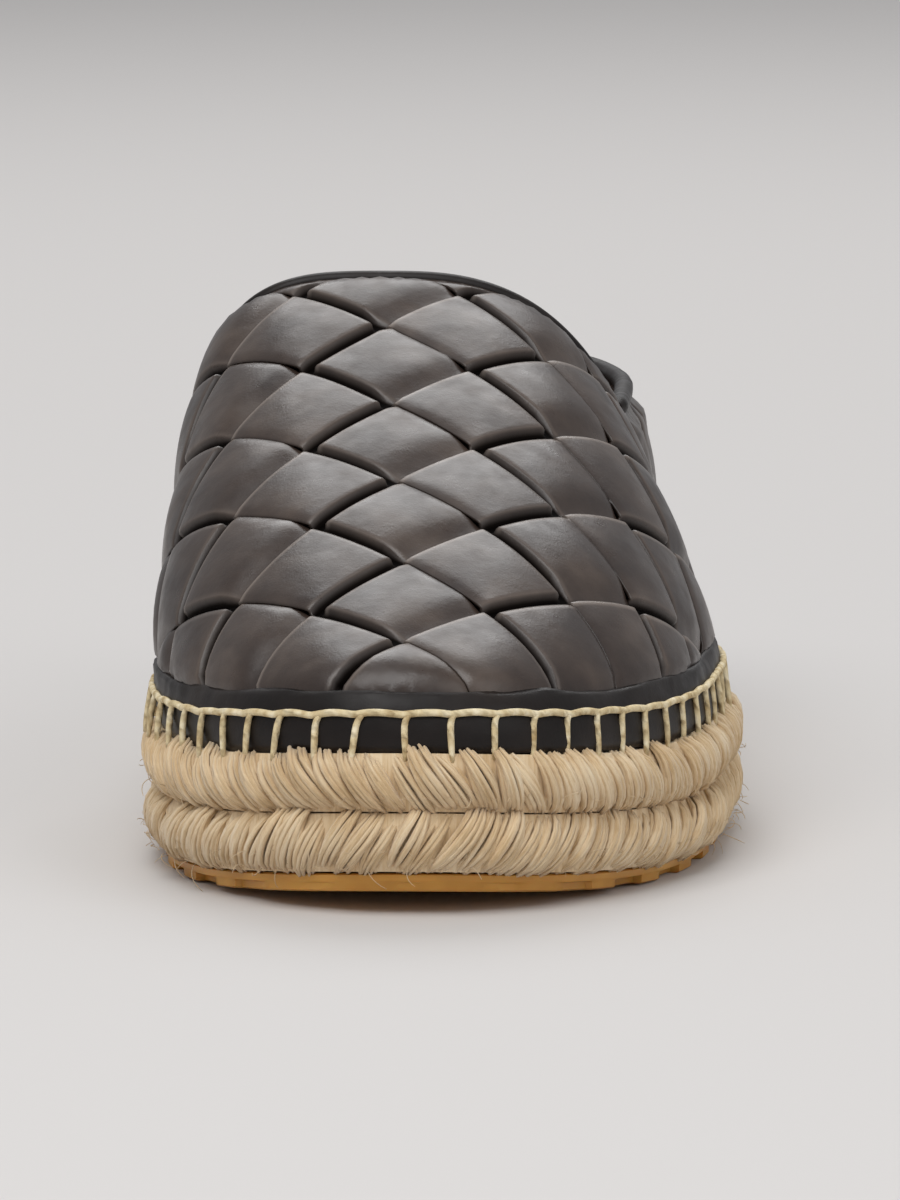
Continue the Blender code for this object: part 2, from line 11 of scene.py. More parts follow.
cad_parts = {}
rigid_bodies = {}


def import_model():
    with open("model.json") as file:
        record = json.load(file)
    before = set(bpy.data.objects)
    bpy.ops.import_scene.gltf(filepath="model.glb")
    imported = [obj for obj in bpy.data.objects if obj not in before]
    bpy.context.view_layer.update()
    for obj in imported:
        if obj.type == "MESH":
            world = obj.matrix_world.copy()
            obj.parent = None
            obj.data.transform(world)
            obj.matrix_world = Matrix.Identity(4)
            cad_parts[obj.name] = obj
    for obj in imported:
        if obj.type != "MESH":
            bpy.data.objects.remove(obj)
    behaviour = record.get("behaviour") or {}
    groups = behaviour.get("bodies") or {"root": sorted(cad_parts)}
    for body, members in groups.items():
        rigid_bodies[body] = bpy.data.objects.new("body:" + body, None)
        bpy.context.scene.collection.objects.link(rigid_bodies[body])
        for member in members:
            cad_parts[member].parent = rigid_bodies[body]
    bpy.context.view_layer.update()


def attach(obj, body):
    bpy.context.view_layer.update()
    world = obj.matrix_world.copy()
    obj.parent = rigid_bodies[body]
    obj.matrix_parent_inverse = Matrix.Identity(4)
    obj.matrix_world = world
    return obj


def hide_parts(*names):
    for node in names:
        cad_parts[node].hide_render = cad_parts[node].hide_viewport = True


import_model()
print("frame loaded")

mm = 0.001
random.seed(7)

# The last and the sole, as the solids have them
last = {
    "length": 0.290, "ballWidth": 0.109, "toeSpring": 0.005, "archLift": 0.0012,
    "toeRound": 0.075, "toeNose": 0.010, "heelRound": 0.048, "endPower": 2.2,
    "instepHeight": 0.0740, "throatBack": 0.150, "throatSlope": 0.27, "collarHeight": 0.0695,
    "heelLean": 0.0045, "notchHeight": 0.055, "notchWidth": 0.009, "quarterCorner": 0.185,
    "featherInset": 0.0045, "wall": 0.0018, "clear": 0.0003,
}
sole = {"rubber": 0.0032, "rowLower": 0.0105, "rowUpper": 0.0105, "rubberInset": 0.0035}

outline = np.array([
    (0.00, -0.035, 0.425), (0.10, -0.030, 0.452), (0.20, -0.018, 0.482), (0.30, -0.004, 0.498),
    (0.38, 0.008, 0.495), (0.50, 0.008, 0.450), (0.60, 0.012, 0.408), (0.72, 0.014, 0.378),
    (0.85, 0.008, 0.368), (1.00, 0.000, 0.362),
])
sections = np.array([
    (0.000, 0.150, -0.010, 2.10), (0.050, 0.225, -0.015, 2.10), (0.100, 0.315, -0.025, 2.15),
    (0.200, 0.495, -0.045, 2.25), (0.300, 0.655, -0.085, 2.45), (0.400, 0.820, -0.115, 2.70),
    (0.517, 1.000, -0.138, 3.00), (0.600, 1.040, -0.115, 3.00), (0.700, 1.000, -0.060, 2.80),
    (0.850, 0.930, -0.010, 2.65), (1.000, 0.900, 0.000, 2.60),
])
soleTop = sole["rubber"] + sole["rowLower"] + sole["rowUpper"] + 2 * last["clear"]
footLevel = soleTop + last["clear"]
length = last["length"]


def smoothTable(table, share, column):
    x, y = table[:, 0], table[:, column]
    slope = np.gradient(y, x)
    share = np.clip(share, x[0], x[-1])
    k = np.clip(np.searchsorted(x, share, side="right") - 1, 0, len(x) - 2)
    step = x[k + 1] - x[k]
    t = (share - x[k]) / step
    return (
        (2 * t**3 - 3 * t**2 + 1) * y[k] + (t**3 - 2 * t**2 + t) * step * slope[k]
        + (3 * t**2 - 2 * t**3) * y[k + 1] + (t**3 - t**2) * step * slope[k + 1]
    )


def ease(x):
    x = np.clip(x, 0, 1)
    return x * x * (3 - 2 * x)


# Distance run along a line, at each of its points.
def runAlong(line):
    return np.concatenate([[0], np.cumsum(np.linalg.norm(np.diff(line, axis=0), axis=1))])


def outlineAt(back, inset=0.0):
    full = length - 2 * inset
    along = np.clip((np.asarray(back, float) - inset) / full, 0, 1)
    ends = 1.0
    for end in (along * full / last["toeRound"], (1 - along) * full / last["heelRound"]):
        ends = ends * np.maximum(1 - (1 - np.clip(end, 0, 1)) ** last["endPower"], 0) ** (1 / last["endPower"])
    return smoothTable(outline, along, 1) * last["ballWidth"], (
        smoothTable(outline, along, 2) * last["ballWidth"] - inset) * ends


def ground(back):
    share = np.asarray(back, float) / length
    toe = np.clip(1 - share / 0.19, 0, 1) ** 2 * last["toeSpring"]
    return toe + ease((share - 0.50) / 0.08) * ease((0.74 - share) / 0.08) * last["archLift"]


def outlineLoop(inset, count):
    full = length - 2 * inset
    back = inset + full * (1 - np.cos(np.linspace(0, np.pi, 3000))) / 2
    centre, half = outlineAt(back, inset)
    loop = np.concatenate([
        np.column_stack([back, centre + half]), np.column_stack([back, centre - half])[::-1][1:]])
    run = runAlong(loop)
    want = np.arange(count) / count * run[-1]
    return np.column_stack([np.interp(want, run, loop[:, 0]), np.interp(want, run, loop[:, 1])])


def sectionAt(back):
    centre, half = outlineAt(back, last["featherInset"])
    share = np.asarray(back, float) / length
    nose = np.clip((back - last["featherInset"]) / last["toeNose"], 0, 1)
    rise = smoothTable(sections, share, 1) * last["instepHeight"] * np.sqrt(1 - (1 - nose) ** 2)
    shift = smoothTable(sections, share, 2) * last["ballWidth"]
    return centre, half, rise, shift, smoothTable(sections, share, 3), footLevel + ground(back)


def lastPoint(back, turn, side):
    centre, half, rise, shift, square, foot = sectionAt(back)
    power = 2 / square
    up = np.sin(np.clip(turn, 0, np.pi / 2)) ** power
    out = np.maximum(np.cos(turn), 0) ** power
    lean = ease((back / length - 0.80) / 0.20) * last["heelLean"]
    low = np.clip(up * rise / last["collarHeight"], 0, 1.3)
    back = back - lean * (2.2 * low**2 - 1.2 * low)
    return np.stack([centre + side * half * out + shift * up, back - length / 2, foot + rise * up], -1)


def normalAt(back, turn, side):
    turn = np.clip(turn, 0.02, np.pi / 2 - 0.01)
    down = lastPoint(back, turn - 0.015, side) - lastPoint(back, turn + 0.01, side)
    fore = lastPoint(back - 0.0004, turn, side) - lastPoint(back + 0.0004, turn, side)
    normal = np.cross(fore, down) * np.asarray(side, float)[..., None]
    return normal / np.maximum(np.linalg.norm(normal, axis=-1, keepdims=True), 1e-12)


def turnAtHeight(back, height):
    _, _, rise, _, square, foot = sectionAt(back)
    return np.arcsin(np.clip((height - foot) / np.maximum(rise, 1e-9), 0, 1) ** (square / 2))


turns = np.linspace(np.pi / 2, 0, 91)
stations = last["featherInset"] + (length - 2 * last["featherInset"]) * (
    1 - np.cos(np.linspace(0, np.pi, 400))) / 2


def alongTable():
    crown, side = lastPoint(stations, np.pi / 2, 1), lastPoint(stations, 0.5, 1)
    rear = ease((stations - last["throatBack"]) / 0.02)[1:]
    over = np.linalg.norm(np.diff(crown, axis=0), axis=1)
    around = np.linalg.norm(np.diff(side, axis=0), axis=1)
    return np.concatenate([[0], np.cumsum(over * (1 - rear) + around * rear)])


alongAt = alongTable()


def acrossRun(back, side):
    ring = lastPoint(np.full(len(turns), back), turns, side)
    return runAlong(ring)


def toPattern(back, turn, side):
    return side * np.interp(-turn, -turns, acrossRun(back, side)), np.interp(back, stations, alongAt)


# Points and normals on the last, and heights above the foot, for points of the pattern.
def fromPattern(flat):
    points, normals, above = [], [], []
    for part in np.array_split(flat, max(1, len(flat) // 4000)):
        back = np.interp(part[:, 1], alongAt, stations)
        side = np.where(part[:, 0] >= 0, 1.0, -1.0)
        ring = lastPoint(back[:, None], turns[None, :], side[:, None])
        run = np.cumsum(np.linalg.norm(np.diff(ring, axis=1), axis=2), axis=1)
        run = np.concatenate([np.zeros((len(part), 1)), run], axis=1)
        turn = np.array([np.interp(abs(x), r, turns) for x, r in zip(part[:, 0], run)])
        point = lastPoint(back, turn, side)
        points.append(point)
        normals.append(normalAt(back, turn, side))
        above.append(point[:, 2] - footLevel - ground(back))
    return np.concatenate(points), np.concatenate(normals), np.concatenate(above)


# Closed line round the last at one height above the foot.
def contour(height, count):
    rises = sectionAt(stations)[2]
    first = np.interp(height, rises[:90], stations[:90])
    backs = first + (stations[-1] - first) * (1 - np.cos(np.linspace(0, np.pi, 900))) / 2
    _, _, rise, _, square, _ = sectionAt(backs)
    angle = np.arcsin(np.clip(height / np.maximum(rise, 1e-9), 0, 1) ** (square / 2))
    halves = []
    for side in (1, -1):
        line = lastPoint(backs, angle, side)
        run = runAlong(line)
        want = np.linspace(0, run[-1], count + 1)
        halves.append(np.column_stack([np.interp(want, run, line[:, k]) for k in range(3)]))
    return np.concatenate([halves[0], halves[1][1:-1][::-1]])


def vampEdgeBack(height):
    return last["throatBack"] + (footLevel + last["instepHeight"] - height) * last["throatSlope"]


def quarterEdgeBack(height):
    low = vampEdgeBack(last["notchHeight"]) + last["notchWidth"]
    share = (height - last["notchHeight"]) / (last["collarHeight"] - last["notchHeight"])
    return low + (last["quarterCorner"] - low) * share


def collarHeight(back):
    share = np.clip((back - last["quarterCorner"]) / (length - last["quarterCorner"]), 0, 1)
    return last["collarHeight"] * (1 - 0.03 * np.sin(np.pi * share))


def throatEdge(side, count):
    low = turnAtHeight(vampEdgeBack(last["notchHeight"]), last["notchHeight"])
    rows = []
    for turn in np.linspace(low, np.pi / 2, count):
        back = last["throatBack"]
        for _ in range(6):
            back = vampEdgeBack(lastPoint(back, turn, side)[2])
        rows.append((back, turn, side))
    return rows


def collarEdge(side, count):
    end = length - last["featherInset"]
    step = np.linspace(0, 1, count)
    share = 0.45 * step + 0.55 * np.sin(step * np.pi / 2)
    backs = last["quarterCorner"] + (end - last["quarterCorner"]) * share
    return [(back, turnAtHeight(back, collarHeight(back)), side) for back in backs]


# The upper's edge in the pattern: the foot, the back seam and the top line with its two notches.
def patternRing():
    end = length - last["featherInset"]
    foot = outlineLoop(last["featherInset"], 500)
    outer = [toPattern(back, 0, 1) for back, _ in foot[:251]]
    inner = [toPattern(back, 0, -1) for back, _ in foot[250:]]
    tops = []
    for side in (1, -1):
        rows = collarEdge(side, 60)[::-1]
        for height in np.linspace(last["collarHeight"], last["notchHeight"], 12)[1:]:
            back = quarterEdgeBack(height)
            rows.append((back, turnAtHeight(back, height), side))
        tops.append([toPattern(*row) for row in rows + throatEdge(side, 60)])
    top = np.array(tops[0] + tops[1][:-1][::-1])
    seam = [toPattern(end, turn, 1) for turn in np.linspace(0, turnAtHeight(end, collarHeight(end)), 20)]
    seamIn = [toPattern(end, turn, -1) for turn in np.linspace(0, turnAtHeight(end, collarHeight(end)), 20)]
    return np.array(outer + seam[1:-1] + list(top) + seamIn[1:-1][::-1] + inner[:-1]), top


def insideRing(points, ring):
    result = np.zeros(len(points), bool)
    x0, y0 = ring[:, 0], ring[:, 1]
    x1, y1 = np.roll(x0, -1), np.roll(y0, -1)
    for part in np.array_split(np.arange(len(points)), max(1, len(points) // 4000)):
        x, y = points[part, 0, None], points[part, 1, None]
        cross = (y0 > y) != (y1 > y)
        at = x0 + (y - y0) * (x1 - x0) / np.where(y1 == y0, 1e-12, y1 - y0)
        result[part] = (cross & (x < at)).sum(axis=1) % 2 == 1
    return result


# Nearest points on a line, and how far they are.
def nearestOn(points, ring, closed=True):
    start = ring if closed else ring[:-1]
    step = (np.roll(ring, -1, axis=0) - ring) if closed else np.diff(ring, axis=0)
    square = np.maximum((step**2).sum(-1), 1e-15)
    spots, gaps = [], []
    for part in np.array_split(points, max(1, len(points) // 1500)):
        t = np.clip(((part[:, None] - start) * step).sum(-1) / square, 0, 1)
        near = start + t[..., None] * step
        gap = np.linalg.norm(part[:, None] - near, axis=-1)
        best = gap.argmin(axis=1)
        spots.append(near[np.arange(len(part)), best])
        gaps.append(gap.min(axis=1))
    return np.concatenate(spots), np.concatenate(gaps)


# Soft random swells of about this size, at each point.
def swells(points, size):
    return np.array([noise.noise(Vector(p) / size) for p in points])


# Meshes and objects
def newObject(name, points, faces, material, attributes=None, smoothAngle=None):
    mesh = bpy.data.meshes.new(name)
    mesh.from_pydata([tuple(p) for p in points], [], [tuple(int(k) for k in f) for f in faces])
    for label, values in (attributes or {}).items():
        layer = mesh.attributes.new(label, "FLOAT", "POINT")
        layer.data.foreach_set("value", np.asarray(values, np.float32))
    mesh.shade_smooth()
    if smoothAngle:
        mesh.set_sharp_from_angle(angle=math.radians(smoothAngle))
    mesh.materials.append(material)
    piece = bpy.data.objects.new(name, mesh)
    bpy.context.scene.collection.objects.link(piece)
    return piece


def facedOut(piece):
    work = bmesh.new()
    work.from_mesh(piece.data)
    bmesh.ops.recalc_face_normals(work, faces=work.faces)
    work.to_mesh(piece.data)
    work.free()
    return piece


def joined(name, pieces):
    with bpy.context.temp_override(active_object=pieces[0], selected_editable_objects=pieces):
        bpy.ops.object.join()
    pieces[0].name = name
    return pieces[0]


def cleaned(piece, distance):
    work = bmesh.new()
    work.from_mesh(piece.data)
    bmesh.ops.remove_doubles(work, verts=work.verts, dist=distance)
    bmesh.ops.dissolve_degenerate(work, edges=work.edges, dist=distance)
    loose = [v for v in work.verts if not v.link_faces]
    bmesh.ops.delete(work, geom=loose, context="VERTS")
    work.to_mesh(piece.data)
    work.free()
    return piece


# The piece with its modifiers taken into the mesh.
def applied(piece):
    graph = bpy.context.evaluated_depsgraph_get()
    made = bpy.data.meshes.new_from_object(piece.evaluated_get(graph))
    piece.modifiers.clear()
    old = piece.data
    piece.data = made
    bpy.data.meshes.remove(old)
    return piece


def thickened(piece, thickness, offset=-1):
    solid = piece.modifiers.new("wall", "SOLIDIFY")
    solid.thickness = thickness
    solid.offset = offset
    solid.use_rim = True
    return applied(piece)


def finished(piece, slotName, *nodes):
    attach(piece, "root")
    if nodes:
        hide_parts(*nodes)
    return piece


def bandFaces(rings, count, closed=True):
    faces = []
    for k in range(rings if closed else rings - 1):
        low, high = k * count, (k + 1) % rings * count
        for n in range(count):
            m = (n + 1) % count
            faces.append((low + n, low + m, high + m, high + n))
    return faces


def gridFaces(rows, columns, base=0):
    return [(k, k + 1, k + columns + 1, k + columns)
            for k in (base + a * columns + b for a in range(rows - 1) for b in range(columns - 1))]


# Tube along a path: shape holds the section as distances outward and towards the open side.
def sweep(path, normals, shape, name, material):
    tangent = np.gradient(path, axis=0)
    tangent /= np.linalg.norm(tangent, axis=1, keepdims=True)
    side = np.cross(tangent, normals)
    side /= np.linalg.norm(side, axis=1, keepdims=True)
    out = np.cross(side, tangent)
    run = runAlong(path)
    fromEnd = np.minimum(run, run[-1] - run) + 0.3 * mm
    full = np.sqrt(1 - (1 - np.clip(fromEnd / (3.2 * mm), 0, 1)) ** 2)[:, None]  # rounds off both ends
    rings = [path + (out * a + side * b) * full for a, b in shape]
    count, sides = len(path), len(shape)
    points = np.stack(rings, axis=1).reshape(-1, 3)
    faces = bandFaces(count, sides, closed=False)
    faces += [tuple(range(sides))[::-1], tuple((count - 1) * sides + n for n in range(sides))]
    piece = newObject(name, points, faces, material, smoothAngle=50)
    return facedOut(piece)


# Materials
def hexColour(text):
    values = [int(text[k:k + 2], 16) / 255 for k in (1, 3, 5)]
    return tuple(v / 12.92 if v <= 0.04045 else ((v + 0.055) / 1.055) ** 2.4 for v in values) + (1.0,)


def addNode(tree, kind, settings=None, inputs=None, links=None, stops=()):
    node = tree.nodes.new(kind)
    for label, value in (settings or {}).items():
        setattr(node, label, value)
    for label, value in (inputs or {}).items():
        node.inputs[label].default_value = value
    for label, socket in (links or {}).items():
        tree.links.new(socket, node.inputs[label])
    for k, (place, colour) in enumerate(stops):
        stop = node.color_ramp.elements[k] if k < 2 else node.color_ramp.elements.new(place)
        stop.position = place
        stop.color = hexColour(colour)
    return node


def newMaterial(name, roughness, **settings):
    material = bpy.data.materials.new(name)
    material.use_nodes = True
    tree = material.node_tree
    shader = tree.nodes["Principled BSDF"]
    shader.inputs["Roughness"].default_value = roughness
    for label, value in settings.items():
        shader.inputs[label].default_value = value
    return material, tree, shader


# Calf leather, dyed and polished: soft sheen, fine pores; on the woven strips a painted highlight along the strip edges
# and painted shade in the gaps.
def leatherMaterial(name, dark, mid, light, roughness, grain, edgeHighlight=None):
    material, tree, shader = newMaterial(name, roughness, **{"Specular IOR Level": 0.5 if edgeHighlight else 0.25})
    place = addNode(tree, "ShaderNodeTexCoord").outputs["Object"]
    cloud = addNode(tree, "ShaderNodeTexNoise", inputs={"Scale": 1 / (14 * mm), "Detail": 4, "Roughness": 0.55},
                    links={"Vector": place})
    base = addNode(tree, "ShaderNodeValToRGB", links={"Fac": cloud.outputs["Fac"]},
                   stops=((0.30, dark), (0.74, light), (0.52, mid))).outputs["Color"]
    if edgeHighlight:
        # Painted highlight: a lighter colour along the strip edges.
        edge = addNode(tree, "ShaderNodeAttribute", {"attribute_name": "edge"})
        mixed = addNode(tree, "ShaderNodeMix", {"data_type": "RGBA"}, links={"Factor": edge.outputs["Fac"]})
        tree.links.new(base, mixed.inputs["A"])
        mixed.inputs["B"].default_value = hexColour(edgeHighlight)
        base = mixed.outputs["Result"]
        # Painted shade: near black down in the gaps, along the steps and in the creases.
        gap = addNode(tree, "ShaderNodeAttribute", {"attribute_name": "gap"})
        gapShade = addNode(tree, "ShaderNodeMix", {"data_type": "RGBA"}, links={"Factor": gap.outputs["Fac"]})
        tree.links.new(base, gapShade.inputs["A"])
        gapShade.inputs["B"].default_value = hexColour("#060403")
        base = gapShade.outputs["Result"]
    tree.links.new(base, shader.inputs["Base Color"])
    rough = addNode(tree, "ShaderNodeTexNoise", inputs={"Scale": 1 / (5 * mm), "Detail": 3}, links={"Vector": place})
    spread = addNode(tree, "ShaderNodeMapRange", inputs={
        "From Min": 0.3, "From Max": 0.7, "To Min": roughness - 0.06, "To Max": roughness + 0.10},
        links={"Value": rough.outputs["Fac"]})
    polish = spread.outputs["Result"]
    if edgeHighlight:  # no gloss down in the gaps
        # Painted shade: the specular tint falls to black in the gaps, taking away their reflections.
        tint = addNode(tree, "ShaderNodeMath", {"operation": "SUBTRACT"}, {0: 1.0}, {1: gap.outputs["Fac"]})
        tree.links.new(tint.outputs["Value"], shader.inputs["Specular Tint"])
        dull = addNode(tree, "ShaderNodeMath", {"operation": "MAXIMUM"}, links={0: polish, 1: gap.outputs["Fac"]})
        polish = dull.outputs["Value"]
    tree.links.new(polish, shader.inputs["Roughness"])
    pores = addNode(tree, "ShaderNodeTexVoronoi", {"feature": "DISTANCE_TO_EDGE"},
                    {"Scale": 1 / grain}, {"Vector": place})
    pore = addNode(tree, "ShaderNodeMapRange", inputs={"From Max": 0.25}, links={"Value": pores.outputs["Distance"]})
    crease = addNode(tree, "ShaderNodeTexNoise", inputs={"Scale": 1 / (3.2 * mm), "Detail": 6, "Roughness": 0.6},
                     links={"Vector": place})
    fine = addNode(tree, "ShaderNodeBump", inputs={"Strength": 0.10, "Distance": 0.00006},
                   links={"Height": pore.outputs["Result"]})
    soft = addNode(tree, "ShaderNodeBump", inputs={"Strength": 0.22, "Distance": 0.0004},
                   links={"Height": crease.outputs["Fac"], "Normal": fine.outputs["Normal"]})
    tree.links.new(soft.outputs["Normal"], shader.inputs["Normal"])
    return material


# Retted jute, loosely spun: dry and matte, with fine fibres that run along each strand.
def juteMaterial(name, dark, mid, light, pale):
    material, tree, shader = newMaterial(name, 0.88, **{
        "Specular IOR Level": 0.2, "Sheen Weight": 0.25, "Sheen Roughness": 0.5})
    place = addNode(tree, "ShaderNodeTexCoord").outputs["Object"]
    lane = addNode(tree, "ShaderNodeAttribute", {"attribute_name": "lane"})
    tint = addNode(tree, "ShaderNodeAttribute", {"attribute_name": "tint"})
    run = addNode(tree, "ShaderNodeAttribute", {"attribute_name": "run"})
    spot = addNode(tree, "ShaderNodeCombineXYZ", links={
        "X": lane.outputs["Fac"], "Y": run.outputs["Fac"], "Z": tint.outputs["Fac"]})
    stretched = addNode(tree, "ShaderNodeMapping", inputs={"Scale": (26, 2.2, 31)},
                        links={"Vector": spot.outputs["Vector"]})
    fibre = addNode(tree, "ShaderNodeTexNoise", inputs={"Scale": 1.0, "Detail": 5, "Roughness": 0.7},
                    links={"Vector": stretched.outputs["Vector"]})
    cloud = addNode(tree, "ShaderNodeTexNoise", inputs={"Scale": 1 / (9 * mm), "Detail": 3}, links={"Vector": place})
    fibreShare = addNode(tree, "ShaderNodeMath", {"operation": "MULTIPLY"}, {1: 0.62}, {0: fibre.outputs["Fac"]})
    both = addNode(tree, "ShaderNodeMath", {"operation": "MULTIPLY_ADD"}, {1: 0.38},
                   {0: cloud.outputs["Fac"], 2: fibreShare.outputs["Value"]})
    colour = addNode(tree, "ShaderNodeValToRGB", links={"Fac": both.outputs["Value"]},
                     stops=((0.30, dark), (0.70, pale), (0.44, mid), (0.56, light)))
    tree.links.new(colour.outputs["Color"], shader.inputs["Base Color"])
    bump = addNode(tree, "ShaderNodeBump", inputs={"Strength": 0.75, "Distance": 0.00035},
                   links={"Height": fibre.outputs["Fac"]})
    tree.links.new(bump.outputs["Normal"], shader.inputs["Normal"])
    return material


# Gum rubber, moulded: amber, a little see-through to the eye at thin edges, satin skin.
def rubberMaterial():
    material, tree, shader = newMaterial("gumRubber", 0.42, **{"Subsurface Weight": 0.25, "Subsurface Scale": 0.002})
    place = addNode(tree, "ShaderNodeTexCoord").outputs["Object"]
    cloud = addNode(tree, "ShaderNodeTexNoise", inputs={"Scale": 1 / (16 * mm), "Detail": 3}, links={"Vector": place})
    colour = addNode(tree, "ShaderNodeValToRGB", links={"Fac": cloud.outputs["Fac"]},
                     stops=((0.3, "#B27B2C"), (0.7, "#D39B45")))
    tree.links.new(colour.outputs["Color"], shader.inputs["Base Color"])
    return material


# Jute twine, hard twisted: dry and cream, with the twist showing as small slanting ridges.
def threadMaterial():
    material, tree, shader = newMaterial("juteTwine", 0.85, **{"Specular IOR Level": 0.2})
    place = addNode(tree, "ShaderNodeTexCoord").outputs["Object"]
    cloud = addNode(tree, "ShaderNodeTexNoise", inputs={"Scale": 1 / (2.5 * mm), "Detail": 5}, links={"Vector": place})
    colour = addNode(tree, "ShaderNodeValToRGB", links={"Fac": cloud.outputs["Fac"]},
                     stops=((0.3, "#B49B70"), (0.5, "#D9C79F"), (0.68, "#EFE2C3")))
    tree.links.new(colour.outputs["Color"], shader.inputs["Base Color"])
    twist = addNode(tree, "ShaderNodeTexWave", {"bands_direction": "DIAGONAL"},
                    {"Scale": 1 / (5 * mm), "Distortion": 6, "Detail": 4}, {"Vector": place})
    bump = addNode(tree, "ShaderNodeBump", inputs={"Strength": 0.8, "Distance": 0.0004},
                   links={"Height": twist.outputs["Fac"]})
    tree.links.new(bump.outputs["Normal"], shader.inputs["Normal"])
    return material


# Knitted elastic webbing: dull brown-black, ribbed, with a warmer thread between the ribs.
def elasticMaterial():
    material, tree, shader = newMaterial("elasticWebbing", 0.85)
    rib = addNode(tree, "ShaderNodeAttribute", {"attribute_name": "edge"})
    colour = addNode(tree, "ShaderNodeValToRGB", links={"Fac": rib.outputs["Fac"]},
                     stops=((0.0, "#2A1D1A"), (1.0, "#54443F")))
    tree.links.new(colour.outputs["Color"], shader.inputs["Base Color"])
    place = addNode(tree, "ShaderNodeTexCoord").outputs["Object"]
    knit = addNode(tree, "ShaderNodeTexNoise", inputs={"Scale": 1 / (0.7 * mm), "Detail": 2}, links={"Vector": place})
    bump = addNode(tree, "ShaderNodeBump", inputs={"Strength": 0.5, "Distance": 0.0002},
                   links={"Height": knit.outputs["Fac"]})
    tree.links.new(bump.outputs["Normal"], shader.inputs["Normal"])
    return material


# The last colour is the painted highlight for the strip edges.
wovenLeather = leatherMaterial("wovenCalf", "#2A201C", "#3B302A", "#50443C", 0.32, 0.7 * mm, edgeHighlight="#8F8278")
trimLeather = leatherMaterial("trimCalf", "#120D0B", "#1A1412", "#261F1B", 0.42, 0.7 * mm)
liningLeather = leatherMaterial("liningKid", "#3A2F2A", "#4A3D36", "#574941", 0.6, 0.9 * mm)
footbedLeather = leatherMaterial("footbedCalf", "#7A6450", "#8C745E", "#9A826B", 0.58, 0.9 * mm)
juteFibre = juteMaterial("juteBraid", "#AD8F68", "#D0B38A", "#E2CAA6", "#EEDDBF")
gumRubber = rubberMaterial()
juteTwine = threadMaterial()
elasticWebbing = elasticMaterial()
print("materials made")


# Woven upper
weave = {
    "cellWide": 0.031, "cellLong": 0.0295, "start": 0.0255, "rise": 1.3 * mm, "crown": 0.8 * mm,
    "gapHalf": 0.85 * mm, "shoulder": 0.8 * mm, "gapDepth": 2.2 * mm, "stepDepth": 1.3 * mm,
    "diveLength": 6.5 * mm, "creaseDepth": 0.35 * mm, "creaseHalf": 2.2 * mm, "skin": 0.9 * mm,
    # darkHalf and darkFade place the painted shade in the gaps; the three keys after them place the painted highlight
    # along the strip edges.
    "darkHalf": 0.75 * mm, "darkFade": 0.75 * mm, "highlightAt": 1.9 * mm, "lapHighlightAt": 1.0 * mm, "highlightHalf": 0.5 * mm,
    "floor": -0.35 * mm, "swell": 0.25 * mm, "swellSize": 18 * mm,
    "fadeFoot": (8.2 * mm, 3.2 * mm), "fadeTop": (0.6 * mm, 4.4 * mm),  # where the relief starts, and over what length
}


# Places across a cell: close together at its edges, where the strips turn under.
def edgeSteps():
    rim = [0, 0.012, 0.027, 0.042, 0.060, 0.085, 0.125, 0.19, 0.28, 0.39]
    return np.array(rim + [0.5] + [1 - r for r in reversed(rim)])


# Height of one float over the wall: s runs along the strip, t across it towards the toe.
def cellHeight(s, t, column, lift):
    wide, long = weave["cellWide"], weave["cellLong"]
    span = wide * long / math.hypot(wide, long)
    height = np.full(s.shape, weave["rise"] + lift)
    height = height + weave["crown"] * (np.sin(np.pi * s) * np.sin(np.pi * t)) ** 0.7
    # Besides the height, two masks: painted shade in the gaps, steps and creases, and a painted highlight along the
    # strip edges, strongest on the upper side.
    gap, edgeHighlight = np.zeros(s.shape), np.zeros(s.shape)
    for share, side in ((t, "upper"), (1 - t, "lower"), (s, "start"), (1 - s, "end")):
        away = share * span
        tight = (column + (side in ("lower", "end"))) % 2 == 0
        if not tight:
            low = np.clip((away - weave["gapHalf"]) / weave["shoulder"], 0, 1)
            height = height - weave["gapDepth"] * (1 - np.sqrt(1 - (1 - low) ** 2))
            gap = np.maximum(gap, 1 - ease((away - weave["darkHalf"]) / weave["darkFade"]))
            # Painted highlight on the rounded shoulder beside the gap.
            highlightBand = np.exp(-(((away - weave["highlightAt"]) / weave["highlightHalf"]) ** 2))
            edgeHighlight = np.maximum(edgeHighlight, highlightBand * (0.8 if side == "upper" else 0.35))
        elif side == "upper":  # the strip's own raised edge, over the float behind it
            low = np.clip((away - 0.15 * mm) / (0.7 * mm), 0, 1)
            height = height - weave["stepDepth"] * (1 - np.sqrt(1 - (1 - low) ** 2))
            # Painted shade along the step, and a painted highlight on its raised edge.
            gap = np.maximum(gap, 0.8 * (1 - ease(away / (0.5 * mm))))
            edgeHighlight = np.maximum(edgeHighlight, np.exp(-(((away - weave["lapHighlightAt"]) / weave["highlightHalf"]) ** 2)))
        elif side == "lower":  # it dives under the float in front
            dive = ease(1 - away / weave["diveLength"])
            height = height - weave["stepDepth"] * dive
            gap = np.maximum(gap, 0.5 * (1 - ease(away / (0.8 * mm))))
        else:
            height = height - weave["creaseDepth"] * np.clip(1 - away / weave["creaseHalf"], 0, 1) ** 1.4
            gap = np.maximum(gap, 0.30 * (1 - ease(away / (0.7 * mm))))
    return height, gap, edgeHighlight


ring, top = patternRing()


